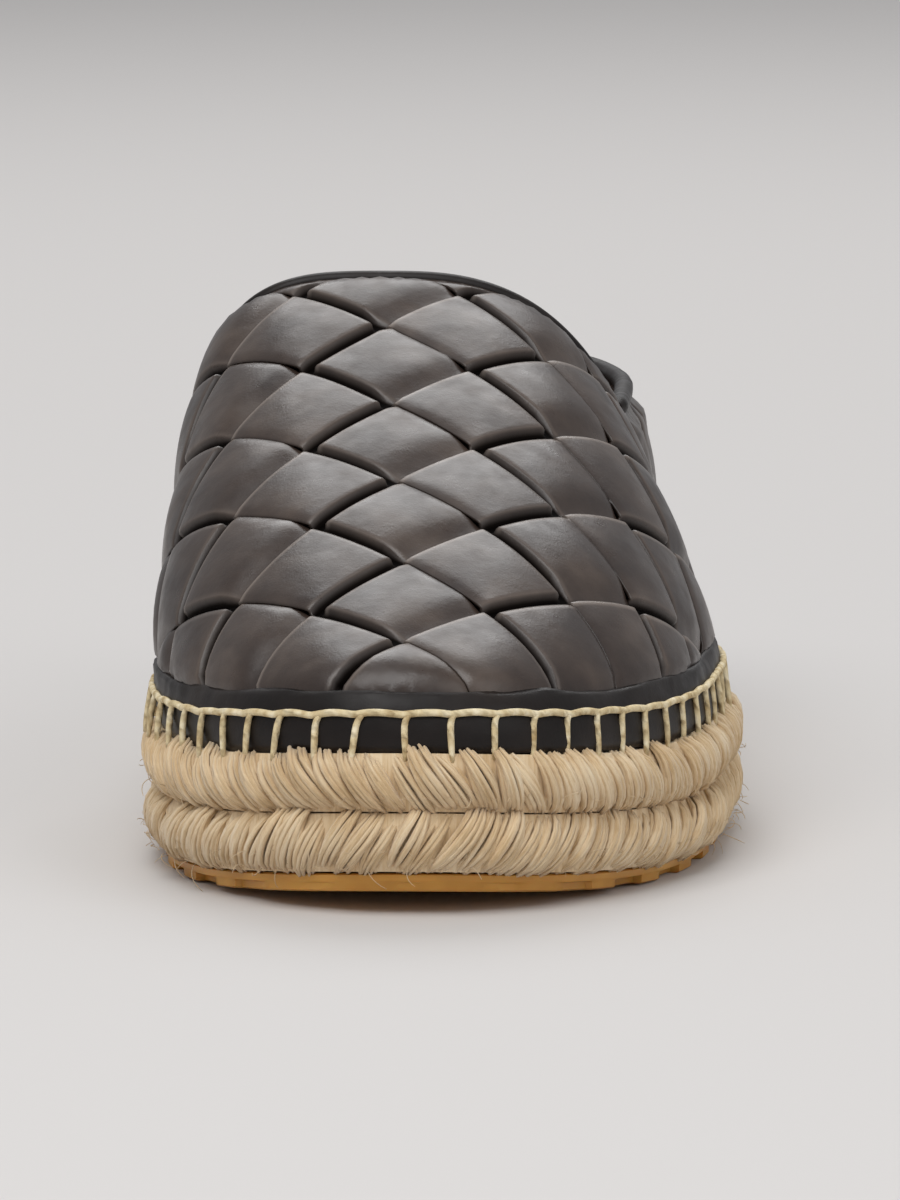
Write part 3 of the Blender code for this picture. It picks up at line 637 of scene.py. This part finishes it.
def buildWovenUpper():
    halfWide, halfLong = weave["cellWide"] / 2, weave["cellLong"] / 2
    steps = edgeSteps()
    s, t = (grid.ravel() for grid in np.meshgrid(steps, steps, indexing="ij"))
    size = len(steps)
    flat, heights, gaps, edgeHighlights, faces = [], [], [], [], []
    square = [(a * size + b, (a + 1) * size + b, (a + 1) * size + b + 1, a * size + b + 1)
              for a in range(size - 1) for b in range(size - 1)]
    columns = int(0.14 / halfWide)
    for i in range(-columns, columns):
        for j in range(-4, int(alongAt[-1] / halfLong) + 3):
            if (i + j) % 2 == 0:
                continue
            corner = np.array([i * halfWide, weave["start"] + (j + 1) * halfLong])
            spot = corner + np.outer(s, (halfWide, halfLong)) + np.outer(t, (halfWide, -halfLong))
            if not insideRing(spot[::7], ring).any():
                continue
            height, gap, edgeHighlight = cellHeight(s, t, i, random.uniform(-0.15, 0.2) * mm)
            base = sum(len(f) for f in flat)
            flat.append(spot)
            heights.append(height)
            gaps.append(gap)
            edgeHighlights.append(edgeHighlight)
            faces += [tuple(base + k for k in quad[::-1]) for quad in square]
    flat = np.concatenate(flat)
    height, gap, edgeHighlight = (np.concatenate(v) for v in (heights, gaps, edgeHighlights))
    inner = insideRing(flat, ring)
    faces = [f for f in faces if inner[list(f)].any()]
    flat[~inner] = nearestOn(flat[~inner], ring)[0]
    _, fromTop = nearestOn(flat, top, closed=False)
    points, normals, above = fromPattern(flat)
    height = height + weave["swell"] * swells(points, weave["swellSize"])
    height = np.maximum(height, weave["floor"])
    (footStart, footSpan), (topStart, topSpan) = weave["fadeFoot"], weave["fadeTop"]
    fade = ease((above - footStart) / footSpan) * ease((fromTop - topStart) / topSpan)
    laid = points + normals * (height * fade)[:, None]
    # Attribute gap is painted shade; attribute edge is the painted highlight along the strip edges.
    piece = newObject("wovenUpper", laid, faces, wovenLeather, {"gap": gap * fade, "edge": edgeHighlight * fade * 0.55})
    cleaned(piece, 0.000012)
    thickened(piece, weave["skin"])
    return finished(piece, "woven_leather", "upper")


print("woven upper:", len(buildWovenUpper().data.polygons), "faces")


# Lining
def buildLining():
    step = 3.5 * mm
    xs, ys = np.arange(-0.132, 0.1321, step), np.arange(0, alongAt[-1] + step, step)
    ys = np.append(ys[ys < alongAt[-1]], alongAt[-1])
    flat = np.array([(x, y) for x in xs for y in ys])
    inner = insideRing(flat, ring)
    faces = [f for f in gridFaces(len(xs), len(ys)) if inner[list(f)].any()]
    flat[~inner] = nearestOn(flat[~inner], ring)[0]
    points, normals, above = fromPattern(flat)
    foot = above < 1 * mm
    normals[foot, 2] = 0
    laid = points - normals * (last["wall"] - 0.6 * mm)
    piece = newObject("lining", laid, faces, liningLeather)
    cleaned(piece, 0.00002)
    thickened(piece, 0.6 * mm, 1)
    return finished(piece, "footbed_leather")


buildLining()
print("lining made")


# Rand: smooth band over the foot of the upper, its top edge folded
rand = {
    "count": 300,
    "section": ((0.0, 1.5), (1.5, 1.9), (4.0, 2.1), (7.0, 2.05), (9.2, 1.95), (10.0, 1.7), (10.45, 1.2),
                (10.35, 0.5), (9.0, 0.15), (4.0, 0.15), (0.0, 0.15)),
}


def outwardOf(rows, k):
    up = rows[min(k + 1, len(rows) - 1)] - rows[max(k - 1, 0)]
    around = np.roll(rows[k], -1, axis=0) - np.roll(rows[k], 1, axis=0)
    normal = np.cross(around, up)
    return normal / np.linalg.norm(normal, axis=1, keepdims=True)


# Rings round the last at these heights, with their outward directions.
def surfaceBand(heights, count):
    ladder = [contour(h * mm, count) for h in np.linspace(0, 12, 13)]
    outs = [outwardOf(ladder, k) for k in range(13)]
    result = []
    for height in heights:
        k = min(int(height), 11)
        part = height - k
        out = outs[k] * (1 - part) + outs[k + 1] * part
        result.append((ladder[k] * (1 - part) + ladder[k + 1] * part, out))
    return result


def atLevel(line, level):
    return np.column_stack([line[:, :2], np.full(len(line), level)])


def buildRand():
    count = rand["count"]
    rings = surfaceBand([h for h, _ in rand["section"]], count)
    made = []
    for (line, out), (height, away) in zip(rings, rand["section"]):
        wave = swells(atLevel(line, 0.02 * height), 11 * mm)
        ripple = swells(atLevel(line, 3), 5 * mm)
        lift = (0.28 * wave + 0.10 * ripple) * min(height, 10) / 10 * mm
        pleat = swells(atLevel(line, 9 + 0.006 * height), 3.4 * mm)
        lift = lift + 0.32 * mm * np.clip(pleat - 0.12, 0, 1) * min(max(height - 3, 0), 4) / 4
        made.append(line + out * (away * mm + lift * (away > 0.4))[:, None]
                    + np.array([0, 0, 1]) * (0.7 * wave * mm * (height > 8))[:, None])
    total = len(made[0])
    piece = newObject("randBand", np.concatenate(made), bandFaces(len(made), total), trimLeather)
    return finished(piece, "trim_leather", "rand")


buildRand()
print("rand made")


# Geometry Nodes for what repeats round the sole
def nodeGroup(name, inputs):
    group = bpy.data.node_groups.new(name, "GeometryNodeTree")
    group.interface.new_socket("Geometry", in_out="INPUT", socket_type="NodeSocketGeometry")
    for label, (kind, value) in inputs.items():
        socket = group.interface.new_socket(label, in_out="INPUT", socket_type=kind)
        if value is not None:
            socket.default_value = value
    group.interface.new_socket("Geometry", in_out="OUTPUT", socket_type="NodeSocketGeometry")
    return group, group.nodes.new("NodeGroupInput"), group.nodes.new("NodeGroupOutput")


# Each tree ends in plain mesh with its material.
def endedTree(group, source, result, geometry):
    real = addNode(group, "GeometryNodeRealizeInstances", links={"Geometry": geometry})
    painted = addNode(group, "GeometryNodeSetMaterial", links={
        "Geometry": real.outputs["Geometry"], "Material": source.outputs["Material"]})
    group.links.new(painted.outputs["Geometry"], result.inputs["Geometry"])
    return group


# Evaluates a tree on a piece and keeps the result as its mesh.
def runNodes(piece, group, values):
    modifier = piece.modifiers.new(group.name, "NODES")
    modifier.node_group = group
    for item in group.interface.items_tree:
        if item.item_type == "SOCKET" and item.in_out == "INPUT" and item.name in values:
            modifier[item.identifier] = values[item.name]
    piece.update_tag()
    bpy.context.view_layer.update()
    return applied(piece)


def pathObject(name, points):
    mesh = bpy.data.meshes.new(name)
    count = len(points)
    mesh.from_pydata([tuple(p) for p in points], [(k, (k + 1) % count) for k in range(count)], [])
    piece = bpy.data.objects.new(name, mesh)
    bpy.context.scene.collection.objects.link(piece)
    return piece


# Puts one of several shapes at even steps along a closed path, turned to it, with small changes.
def repeatGroup():
    group, source, result = nodeGroup("alongPath", {
        "Count": ("NodeSocketInt", 100), "Shapes": ("NodeSocketCollection", None), "Seed": ("NodeSocketInt", 1),
        "Smallest": ("NodeSocketFloat", 0.9), "Largest": ("NodeSocketFloat", 1.1),
        "Wobble": ("NodeSocketFloat", 0.1), "Material": ("NodeSocketMaterial", None)})
    curve = addNode(group, "GeometryNodeMeshToCurve", links={"Mesh": source.outputs["Geometry"]})
    spaced = addNode(group, "GeometryNodeResampleCurve", links={
        "Curve": curve.outputs["Curve"], "Count": source.outputs["Count"]})
    tangent = addNode(group, "GeometryNodeInputTangent")
    turned = addNode(group, "FunctionNodeAlignRotationToVector", {"axis": "X"},
                     links={"Vector": tangent.outputs["Tangent"]})
    upright = addNode(group, "FunctionNodeAlignRotationToVector", {"axis": "Z", "pivot_axis": "X"},
                      {"Vector": (0, 0, 1)}, {"Rotation": turned.outputs["Rotation"]})
    shapes = addNode(group, "GeometryNodeCollectionInfo", inputs={"Separate Children": True, "Reset Children": True},
                     links={"Collection": source.outputs["Shapes"]})
    pick = addNode(group, "FunctionNodeRandomValue", {"data_type": "INT"}, {"Min": 0, "Max": 7},
                   {"Seed": source.outputs["Seed"]})
    size = addNode(group, "FunctionNodeRandomValue", {"data_type": "FLOAT"}, links={
        "Min": source.outputs["Smallest"], "Max": source.outputs["Largest"], "Seed": source.outputs["Seed"]})
    placed = addNode(group, "GeometryNodeInstanceOnPoints", inputs={"Pick Instance": True}, links={
        "Points": spaced.outputs["Curve"], "Instance": shapes.outputs["Instances"],
        "Instance Index": pick.outputs["Value"], "Rotation": upright.outputs["Rotation"],
        "Scale": size.outputs["Value"]})
    low = addNode(group, "ShaderNodeMath", {"operation": "MULTIPLY"}, {1: -1.0}, {0: source.outputs["Wobble"]})
    lowest = addNode(group, "ShaderNodeCombineXYZ", links={k: low.outputs["Value"] for k in "XYZ"})
    highest = addNode(group, "ShaderNodeCombineXYZ", links={k: source.outputs["Wobble"] for k in "XYZ"})
    lean = addNode(group, "FunctionNodeRandomValue", {"data_type": "FLOAT_VECTOR"}, links={
        "Min": lowest.outputs["Vector"], "Max": highest.outputs["Vector"], "Seed": source.outputs["Seed"]})
    leaned = addNode(group, "GeometryNodeRotateInstances", links={
        "Instances": placed.outputs["Instances"], "Rotation": lean.outputs["Value"]})
    return endedTree(group, source, result, leaned.outputs["Instances"])


alongPath = repeatGroup()


# Points, faces and fibre coordinates of one thin yarn that tapers at its ends.
def yarn(path, radius, sides=6, lane=0.0, tint=0.0):
    path = np.asarray(path, float)
    tangent = np.gradient(path, axis=0)
    tangent /= np.linalg.norm(tangent, axis=1, keepdims=True)
    side = np.cross(tangent, (0.3, 1, 0.2))
    side /= np.linalg.norm(side, axis=1, keepdims=True)
    other = np.cross(tangent, side)
    count = len(path)
    taper = 0.55 + 0.45 * np.sin(np.linspace(0, np.pi, count)) ** 0.5
    points, lanes, runs = [], [], []
    for n in range(sides):
        angle = 2 * math.pi * n / sides
        points.append(path + (side * math.cos(angle) + other * math.sin(angle)) * (radius * taper)[:, None])
        lanes.append(np.full(count, lane + n / sides * 0.3))
        runs.append(np.linspace(0, 1, count))
    faces = []
    for n in range(sides):
        m = (n + 1) % sides
        faces += [(n * count + k, n * count + k + 1, m * count + k + 1, m * count + k) for k in range(count - 1)]
    faces += [tuple(n * count for n in range(sides)), tuple(n * count + count - 1 for n in range(sides))[::-1]]
    return np.concatenate(points), faces, np.concatenate(lanes), np.concatenate(runs), np.full(count * sides, tint)


def joinedYarns(name, yarns, material):
    points, faces, lanes, runs, tints, base = [], [], [], [], [], 0
    for p, f, lane, run, tint in yarns:
        points.append(p)
        faces += [tuple(base + k for k in face) for face in f]
        lanes.append(lane)
        runs.append(run)
        tints.append(tint)
        base += len(p)
    piece = newObject(name, np.concatenate(points), faces, material, {
        "lane": np.concatenate(lanes), "run": np.concatenate(runs), "tint": np.concatenate(tints)})
    return facedOut(piece)


# A collection of shapes that the trees pick from; it is taken out again once they are used.
def shapeCollection(name, makers):
    group = bpy.data.collections.new(name)
    bpy.context.scene.collection.children.link(group)
    for piece in makers:
        bpy.context.scene.collection.objects.unlink(piece)
        group.objects.link(piece)
    return group


def dropCollection(group):
    for piece in list(group.objects):
        bpy.data.objects.remove(piece, do_unlink=True)
    bpy.data.collections.remove(group)


# Jute braid
braid = {
    "strands": 150, "yarns": 8, "yarnRadius": 0.62 * mm, "reach": 5.6 * mm, "width": 1.55 * mm, "twist": 1.1,
    "depth": 1.3 * mm, "swell": 0.9 * mm, "inset": 1.2 * mm, "variants": 8, "steps": 8, "hairs": 540,
}


# One strand of the plait: a loose bundle of yarns that comes out of the groove and rolls over the edge
def strandShape(name, height, slant):
    yarns = []
    tint, start, lean = random.random(), random.uniform(0, 2 * math.pi), random.uniform(0.8, 1.2)
    lift, plump = random.uniform(-0.3, 0.45) * mm, random.uniform(0.85, 1.15)
    share = np.linspace(0, 1, braid["steps"])
    for n in range(braid["yarns"]):
        angle = start + 2 * math.pi * n / braid["yarns"] + braid["twist"] * share * slant
        across = braid["width"] * plump * np.cos(angle) * (0.8 + 0.3 * np.sin(np.pi * share))
        around = 0.55 * braid["width"] * np.sin(angle)
        low, high = random.uniform(-0.07, 0.0), random.uniform(0.98, 1.04)
        along = low + (high - low) * share
        bow = 0.5 * mm * random.uniform(-1, 1) * np.sin(np.pi * share)
        x = across + slant * braid["reach"] * lean * (0.5 - along) + bow
        roll = np.sin(np.pi * np.clip(0.05 + 0.90 * along, 0, 1)) ** 0.6
        out = -braid["depth"] + (braid["depth"] + braid["swell"]) * roll - 0.9 * mm + around + lift
        out = out - 1.7 * mm * (share**7 + (1 - share) ** 7)
        z = height * along + 0.2 * mm * random.uniform(-1, 1)
        yarns.append(yarn(np.column_stack([x, -out, z]), braid["yarnRadius"] * random.uniform(0.75, 1.25),
                          5, lane=n * 1.7, tint=tint + 0.13 * n))
    return joinedYarns(name, yarns, juteFibre)


def soleRing(inset, height, count):
    loop = outlineLoop(inset, count)
    return np.column_stack([loop[:, 1], loop[:, 0] - length / 2, ground(loop[:, 0]) + height])


# Closed slab from rings, low to high, its top and bottom closed by ladders across.
def solidLayer(name, rings, material):
    count = len(rings[0])
    faces = bandFaces(len(rings), count, closed=False)
    top = (len(rings) - 1) * count
    for base, flip in ((0, True), (top, False)):
        for k in range(count // 2):
            a, b = base + k, base + (k + 1) % count
            c, d = base + (count - k - 1) % count, base + (count - k) % count
            quad = [n for n, m in zip((a, b, c, d), (b, c, d, a)) if n != m]
            if len(set(quad)) > 2:
                quad = list(dict.fromkeys(quad))
                faces.append(tuple(quad[::-1] if flip else quad))
    return newObject(name, np.concatenate(rings), faces, material, smoothAngle=50)


def buildBraidRow(name, node, bottom, thick, slant, seed):
    shapes = shapeCollection(name + "Shapes", [
        strandShape(f"{name}Strand{k}", thick, slant) for k in range(braid["variants"])])
    path = pathObject(name + "Run", soleRing(braid["inset"], bottom, 700))
    strands = runNodes(path, alongPath, {
        "Count": braid["strands"], "Shapes": shapes, "Seed": seed, "Smallest": 0.93, "Largest": 1.08,
        "Wobble": 0.11, "Material": juteFibre})
    dropCollection(shapes)
    core = solidLayer(name + "Core", [
        soleRing(3.0 * mm, bottom, 220), soleRing(1.9 * mm, bottom + 0.2 * thick, 220),
        soleRing(1.9 * mm, bottom + 0.8 * thick, 220), soleRing(3.0 * mm, bottom + thick, 220)], juteFibre)
    for label in ("lane", "run", "tint"):
        core.data.attributes.new(label, "FLOAT", "POINT")
    place = np.empty(len(core.data.vertices) * 3, np.float32)
    core.data.vertices.foreach_get("co", place)
    core.data.attributes["lane"].data.foreach_set("value", place[0::3] * 60)
    core.data.attributes["run"].data.foreach_set("value", place[1::3] * 60)
    return finished(joined(name, [strands, core]), "jute_braid", node)


lowerBottom = sole["rubber"] + last["clear"]
upperBottom = lowerBottom + sole["rowLower"] + last["clear"]
buildBraidRow("braidLower", "jute_lower", lowerBottom, sole["rowLower"], -1, 3)
buildBraidRow("braidUpper", "jute_upper", upperBottom, sole["rowUpper"], 1, 5)
print("braid made")


def hairShape(name):
    share = np.linspace(0, 1, 7)
    reach = random.uniform(1.5, 4.5) * mm
    curl = random.uniform(-1, 1) * reach
    drop = random.uniform(-0.8, 0.6) * reach
    path = np.column_stack([curl * share**2, -reach * 0.55 * np.sin(share * 1.9), drop * share**1.5])
    return joinedYarns(name, [yarn(path, 0.08 * mm, 4, lane=random.random(), tint=random.random())], juteFibre)


def buildHairs():
    made = []
    for label, height, inset in (("a", upperBottom + 0.25 * sole["rowUpper"], 0.6 * mm),
                                 ("b", lowerBottom + 0.35 * sole["rowLower"], 0.4 * mm),
                                 ("c", lowerBottom + 0.05 * sole["rowLower"], 1.2 * mm)):
        shapes = shapeCollection("hairShapes" + label, [hairShape(f"hair{label}{k}") for k in range(8)])
        path = pathObject("hairRun" + label, soleRing(inset, height, 500))
        made.append(runNodes(path, alongPath, {
            "Count": braid["hairs"] // 3, "Shapes": shapes, "Seed": 11 + len(made), "Smallest": 0.4, "Largest": 1.2,
            "Wobble": 0.9, "Material": juteFibre}))
        dropCollection(shapes)
    return finished(joined("looseFibres", made), "jute_braid")


buildHairs()

# Blanket stitch
stitch = {"count": 80, "threadRadius": 0.66 * mm, "height": 6.2, "away": 2.45, "foot": -2.2 * mm, "scallop": 0.35 * mm}


# The thread that lies along the rand, dipping a little between the stitches.
def threadRun():
    line, out = surfaceBand([stitch["height"]], 480)[0]
    run = runAlong(line)
    share = run / (run[-1] + np.linalg.norm(line[0] - line[-1]))
    wander = swells(line, 6 * mm)
    dip = stitch["scallop"] * np.abs(np.sin(np.pi * share * stitch["count"]))
    return line + out * (stitch["away"] * mm) + np.array([0, 0, 1]) * (dip + 0.3 * mm * wander)[:, None]


# One leg of the stitch: over the rand, down the leather and into the top of the braid.
def legShape(name):
    share = np.linspace(0, 1, 9) ** 1.5
    drop = stitch["height"] * mm - stitch["foot"]
    hook = random.uniform(0.9, 1.5) * mm * np.exp(-share / 0.10)
    x = hook + random.uniform(-0.9, 0.9) * mm * share + 0.3 * mm * np.sin(np.pi * share) * random.uniform(-1, 1)
    out = 0.1 * mm + 0.95 * mm * share**1.5 + 0.25 * mm * np.sin(np.pi * share)
    leg = yarn(np.column_stack([x, -out, -drop * share]), stitch["threadRadius"] * 0.95, 8)
    return joinedYarns(name, [leg], juteTwine)


def threadGroup():
    group, source, result = nodeGroup("threadAlong", {
        "Radius": ("NodeSocketFloat", 0.0005), "Sides": ("NodeSocketInt", 8), "Material": ("NodeSocketMaterial", None)})
    curve = addNode(group, "GeometryNodeMeshToCurve", links={"Mesh": source.outputs["Geometry"]})
    circle = addNode(group, "GeometryNodeCurvePrimitiveCircle", links={
        "Radius": source.outputs["Radius"], "Resolution": source.outputs["Sides"]})
    tube = addNode(group, "GeometryNodeCurveToMesh", links={
        "Curve": curve.outputs["Curve"], "Profile Curve": circle.outputs["Curve"]})
    return endedTree(group, source, result, tube.outputs["Mesh"])


def buildStitches():
    run = threadRun()
    thread = runNodes(pathObject("stitchThread", run), threadGroup(), {
        "Radius": stitch["threadRadius"], "Sides": 8, "Material": juteTwine})
    thread.data.shade_smooth()
    shapes = shapeCollection("legShapes", [legShape(f"leg{k}") for k in range(8)])
    legs = runNodes(pathObject("stitchLegs", run), alongPath, {
        "Count": stitch["count"], "Shapes": shapes, "Seed": 21, "Smallest": 0.97, "Largest": 1.05,
        "Wobble": 0.05, "Material": juteTwine})
    dropCollection(shapes)
    return finished(joined("blanketStitch", [thread, legs]), "jute_braid")


buildStitches()
print("stitches made")

# Rubber outsole
tread = {"teeth": 38, "depth": 1.6 * mm, "cut": 1.6 * mm, "perTooth": 14}


def buildOutsole():
    count = tread["teeth"] * tread["perTooth"]
    phase = np.arange(count) % tread["perTooth"] / tread["perTooth"]
    tooth = ease((np.minimum(phase, 1 - phase) - 0.20) / 0.06)
    front = ease((outlineLoop(0, count)[:, 0] - 6 * mm) / (22 * mm))
    tooth = (1 - (1 - tooth) * (0.15 + 0.85 * front))[:, None]
    inset = sole["rubberInset"]

    def cutRing(extra, height):
        full, low = soleRing(inset + extra, height, count), soleRing(inset + extra + tread["cut"], height, count)
        return low * (1 - tooth) + full * tooth

    rings = [cutRing(0.7 * mm, 0), cutRing(0.25 * mm, 0.3 * mm), cutRing(0.2 * mm, tread["depth"] - 0.1 * mm),
             soleRing(inset + 0.1 * mm, tread["depth"] + 0.1 * mm, count),
             soleRing(inset, tread["depth"] + 0.5 * mm, count),
             soleRing(inset, sole["rubber"] - 0.3 * mm, count), soleRing(inset + 0.4 * mm, sole["rubber"], count)]
    return finished(solidLayer("rubberOutsole", rings, gumRubber), "gum_rubber", "outsole")


buildOutsole()

# Footbed
footbed = {"inset": 7.6 * mm, "thick": 3.5 * mm, "dome": 1.0 * mm, "rows": 110, "columns": 40}


def buildFootbed():
    angles = np.linspace(0.02, np.pi - 0.02, footbed["rows"])
    backs = footbed["inset"] + (length - 2 * footbed["inset"]) * (1 - np.cos(angles)) / 2
    across = np.sin(np.linspace(-np.pi / 2, np.pi / 2, footbed["columns"]))
    points, rows = [], footbed["columns"]
    for top in (True, False):
        for back in backs:
            centre, half = outlineAt(back, footbed["inset"])
            end = min(back - footbed["inset"], length - footbed["inset"] - back)
            for share in across:
                edge = min(half * (1 - abs(share)), end)
                rise = footbed["thick"] - 0.8 * mm * math.exp(-edge / (1.2 * mm)) if top else 0.1 * mm
                dish = footbed["dome"] * (share**2) * ease((edge - 1 * mm) / (8 * mm)) if top else 0
                points.append((centre + half * share, back - length / 2, footLevel + ground(back) + rise + dish))
    total = footbed["rows"] * rows
    faces = gridFaces(footbed["rows"], rows) + [f[::-1] for f in gridFaces(footbed["rows"], rows, total)]
    for a in range(footbed["rows"] - 1):
        for b, flip in ((0, False), (rows - 1, True)):
            k = a * rows + b
            quad = (k, k + rows, k + rows + total, k + total)
            faces.append(quad[::-1] if flip else quad)
    for a, flip in ((0, True), (footbed["rows"] - 1, False)):
        for b in range(rows - 1):
            k = a * rows + b
            quad = (k, k + 1, k + 1 + total, k + total)
            faces.append(quad if not flip else quad[::-1])
    piece = newObject("footbed", points, faces, footbedLeather, smoothAngle=50)
    return finished(piece, "footbed_leather", "insole")


buildFootbed()
print("sole made")

# Piping and binding
trim = {"pipingRadius": 1.55 * mm, "bindingOut": 1.9 * mm, "bindingUp": 1.9 * mm, "sides": 14,
        "sway": 0.18 * mm, "swaySize": 12 * mm}


def beadAlong(name, stationsList, outRadius, upRadius, toOpen, node):
    points = np.array([lastPoint(*row) for row in stationsList])
    normals = np.array([normalAt(row[0], row[1], np.array(float(row[2]))) for row in stationsList])
    tangent = np.gradient(points, axis=0)
    out = np.cross(normals, tangent)
    out /= np.linalg.norm(out, axis=1, keepdims=True)
    out[(out * np.array(toOpen)).sum(axis=1) < 0] *= -1
    path = points - normals * last["wall"] * 0.35 + out * upRadius * 0.75
    path = path + out * (trim["sway"] * swells(path, trim["swaySize"]))[:, None]
    angles = np.linspace(0, 2 * np.pi, trim["sides"], endpoint=False)
    shape = [(outRadius * math.cos(a), upRadius * math.sin(a)) for a in angles]
    piece = sweep(path, normals, shape, name, trimLeather)
    return finished(piece, "trim_leather", node)


def bothSides(makeEdge, count):
    return makeEdge(1, count) + makeEdge(-1, count)[:-1][::-1]


beadAlong("vampPiping", bothSides(throatEdge, 110), trim["pipingRadius"], trim["pipingRadius"],
          (0, 1, 0.2), "vamp_piping")
beadAlong("collarBinding", bothSides(collarEdge, 110), trim["bindingOut"], trim["bindingUp"],
          (0, 0, 1), "collar_binding")

# Elastic gores
gore = {"ribs": 11, "perRib": 6, "rows": 16, "ribRise": 0.35 * mm, "thick": 1.2 * mm}


def buildGore(name, node, side):
    columns = gore["ribs"] * gore["perRib"] + 1
    throatTop = footLevel + last["instepHeight"]
    stationRows, ribs = [], []
    for up in np.linspace(0, 1, gore["rows"]):
        low = last["notchHeight"] - 1.5 * mm
        frontHeight = low + (throatTop * 0.80 - low) * up
        rearHeight = low + (last["collarHeight"] - low) * up
        front, rear = vampEdgeBack(frontHeight) + 1.0 * mm, quarterEdgeBack(rearHeight) + 1.0 * mm
        for k, share in enumerate(np.linspace(0, 1, columns)):
            height = frontHeight + (rearHeight - frontHeight) * share
            back = front + (rear - front) * share
            stationRows.append((back, float(turnAtHeight(back, height))))
            ribs.append(0.5 - 0.5 * math.cos(2 * math.pi * k / gore["perRib"]))
    backs, angle = np.array(stationRows).T
    sides = np.full(len(backs), float(side))
    points, normals = lastPoint(backs, angle, sides), normalAt(backs, angle, sides)
    ribs = np.array(ribs)
    laid = points - normals * (1.0 * mm - ribs * gore["ribRise"])[:, None]
    faces = gridFaces(gore["rows"], columns)
    if side < 0:
        faces = [f[::-1] for f in faces]
    piece = newObject(name, laid, faces, elasticWebbing, {"edge": ribs})
    thickened(piece, gore["thick"])
    return finished(piece, "elastic_gore", node)


buildGore("goreOuter", "gore_lateral", 1)
buildGore("goreInner", "gore_medial", -1)

# Heel strip over the back seam
heelStrip = {"half": 11.5 * mm, "thick": 1.1 * mm, "columns": 36, "rows": 40}


def buildHeelStrip():
    end = alongAt[-1]
    backEnd = length - last["featherInset"]
    topTurn = float(turnAtHeight(backEnd, collarHeight(backEnd)))
    tall = acrossRun(backEnd, 1)[-1] - np.interp(-topTurn, -turns, acrossRun(backEnd, 1))
    points, normals = [], []
    share = np.linspace(-1, 1, heelStrip["columns"])
    for row in np.linspace(0.005, tall - 0.6 * mm, heelStrip["rows"]):
        for s in share:
            side = 1 if s >= 0 else -1
            along = end - abs(s) * heelStrip["half"]
            back = np.interp(along, alongAt, stations)
            run = acrossRun(back, side)
            flat = np.array([[side * (run[-1] - row), along]])
            point, normal, _ = fromPattern(flat)
            points.append(point[0])
            normals.append(normal[0])
    points, normals = np.array(points), np.array(normals)
    edge = np.tile(np.abs(share), heelStrip["rows"])
    lift = 2.35 * mm - 0.9 * mm * ease((edge - 0.93) / 0.07)
    columns = heelStrip["columns"]
    faces = [(r * columns + c, (r + 1) * columns + c, (r + 1) * columns + c + 1, r * columns + c + 1)
             for r in range(heelStrip["rows"] - 1) for c in range(columns - 1)]
    piece = newObject("heelStrip", points + normals * lift[:, None], faces, trimLeather)
    thickened(piece, heelStrip["thick"])
    return finished(piece, "trim_leather")


buildHeelStrip()
print("trim made")

# Floor, light and camera
studio = {
    "azimuth": 1.8, "elevation": 7.5, "distance": 2.0, "frameHeight": 0.222, "aim": (0.001, -0.060, 0.046),
    "floor": "#CBC8C6", "key": 18.5, "fill": 4.0, "back": 15.0,
}


def buildStudio():
    material, _, shader = newMaterial("paleFloor", 0.9)
    shader.inputs["Base Color"].default_value = hexColour(studio["floor"])
    corners = [(-4, -4, 0), (4, -4, 0), (4, 4, 0), (-4, 4, 0)]
    newObject("paleFloor", corners, [(0, 1, 2, 3)], material)
    for label, place, size, power in (
        ("keyLight", (-0.35, -0.9, 1.5), 1.3, studio["key"]),
        ("fillLight", (1.1, -0.9, 0.9), 1.2, studio["fill"]),
        ("backLight", (0.0, 1.3, 1.5), 1.3, studio["back"]),
    ):
        lamp = bpy.data.lights.new(label, "AREA")
        lamp.energy = power
        lamp.size = size
        holder = bpy.data.objects.new(label, lamp)
        holder.location = place
        holder.rotation_euler = (Vector(studio["aim"]) - Vector(place)).to_track_quat("-Z", "Y").to_euler()
        bpy.context.scene.collection.objects.link(holder)
    world = bpy.data.worlds.new("studioAir")
    world.use_nodes = True
    world.node_tree.nodes["Background"].inputs["Color"].default_value = hexColour("#E9EAEC")
    world.node_tree.nodes["Background"].inputs["Strength"].default_value = 0.5
    bpy.context.scene.world = world
    bpy.context.scene.view_settings.view_transform = "Standard"


def buildCamera():
    azimuth, elevation = (math.radians(studio[k]) for k in ("azimuth", "elevation"))
    level = math.cos(elevation)
    towards = Vector((math.sin(azimuth) * level, -math.cos(azimuth) * level, math.sin(elevation)))
    lens = bpy.data.cameras.new("shoeCamera")
    lens.sensor_fit = "VERTICAL"
    lens.sensor_height = 36
    lens.lens = 36 * studio["distance"] / studio["frameHeight"]
    lens.clip_end = 20
    camera = bpy.data.objects.new("shoeCamera", lens)
    camera.location = Vector(studio["aim"]) + towards * studio["distance"]
    camera.rotation_euler = (-towards).to_track_quat("-Z", "Y").to_euler()
    bpy.context.scene.collection.objects.link(camera)
    bpy.context.scene.camera = camera


buildStudio()
buildCamera()

print("studio made")
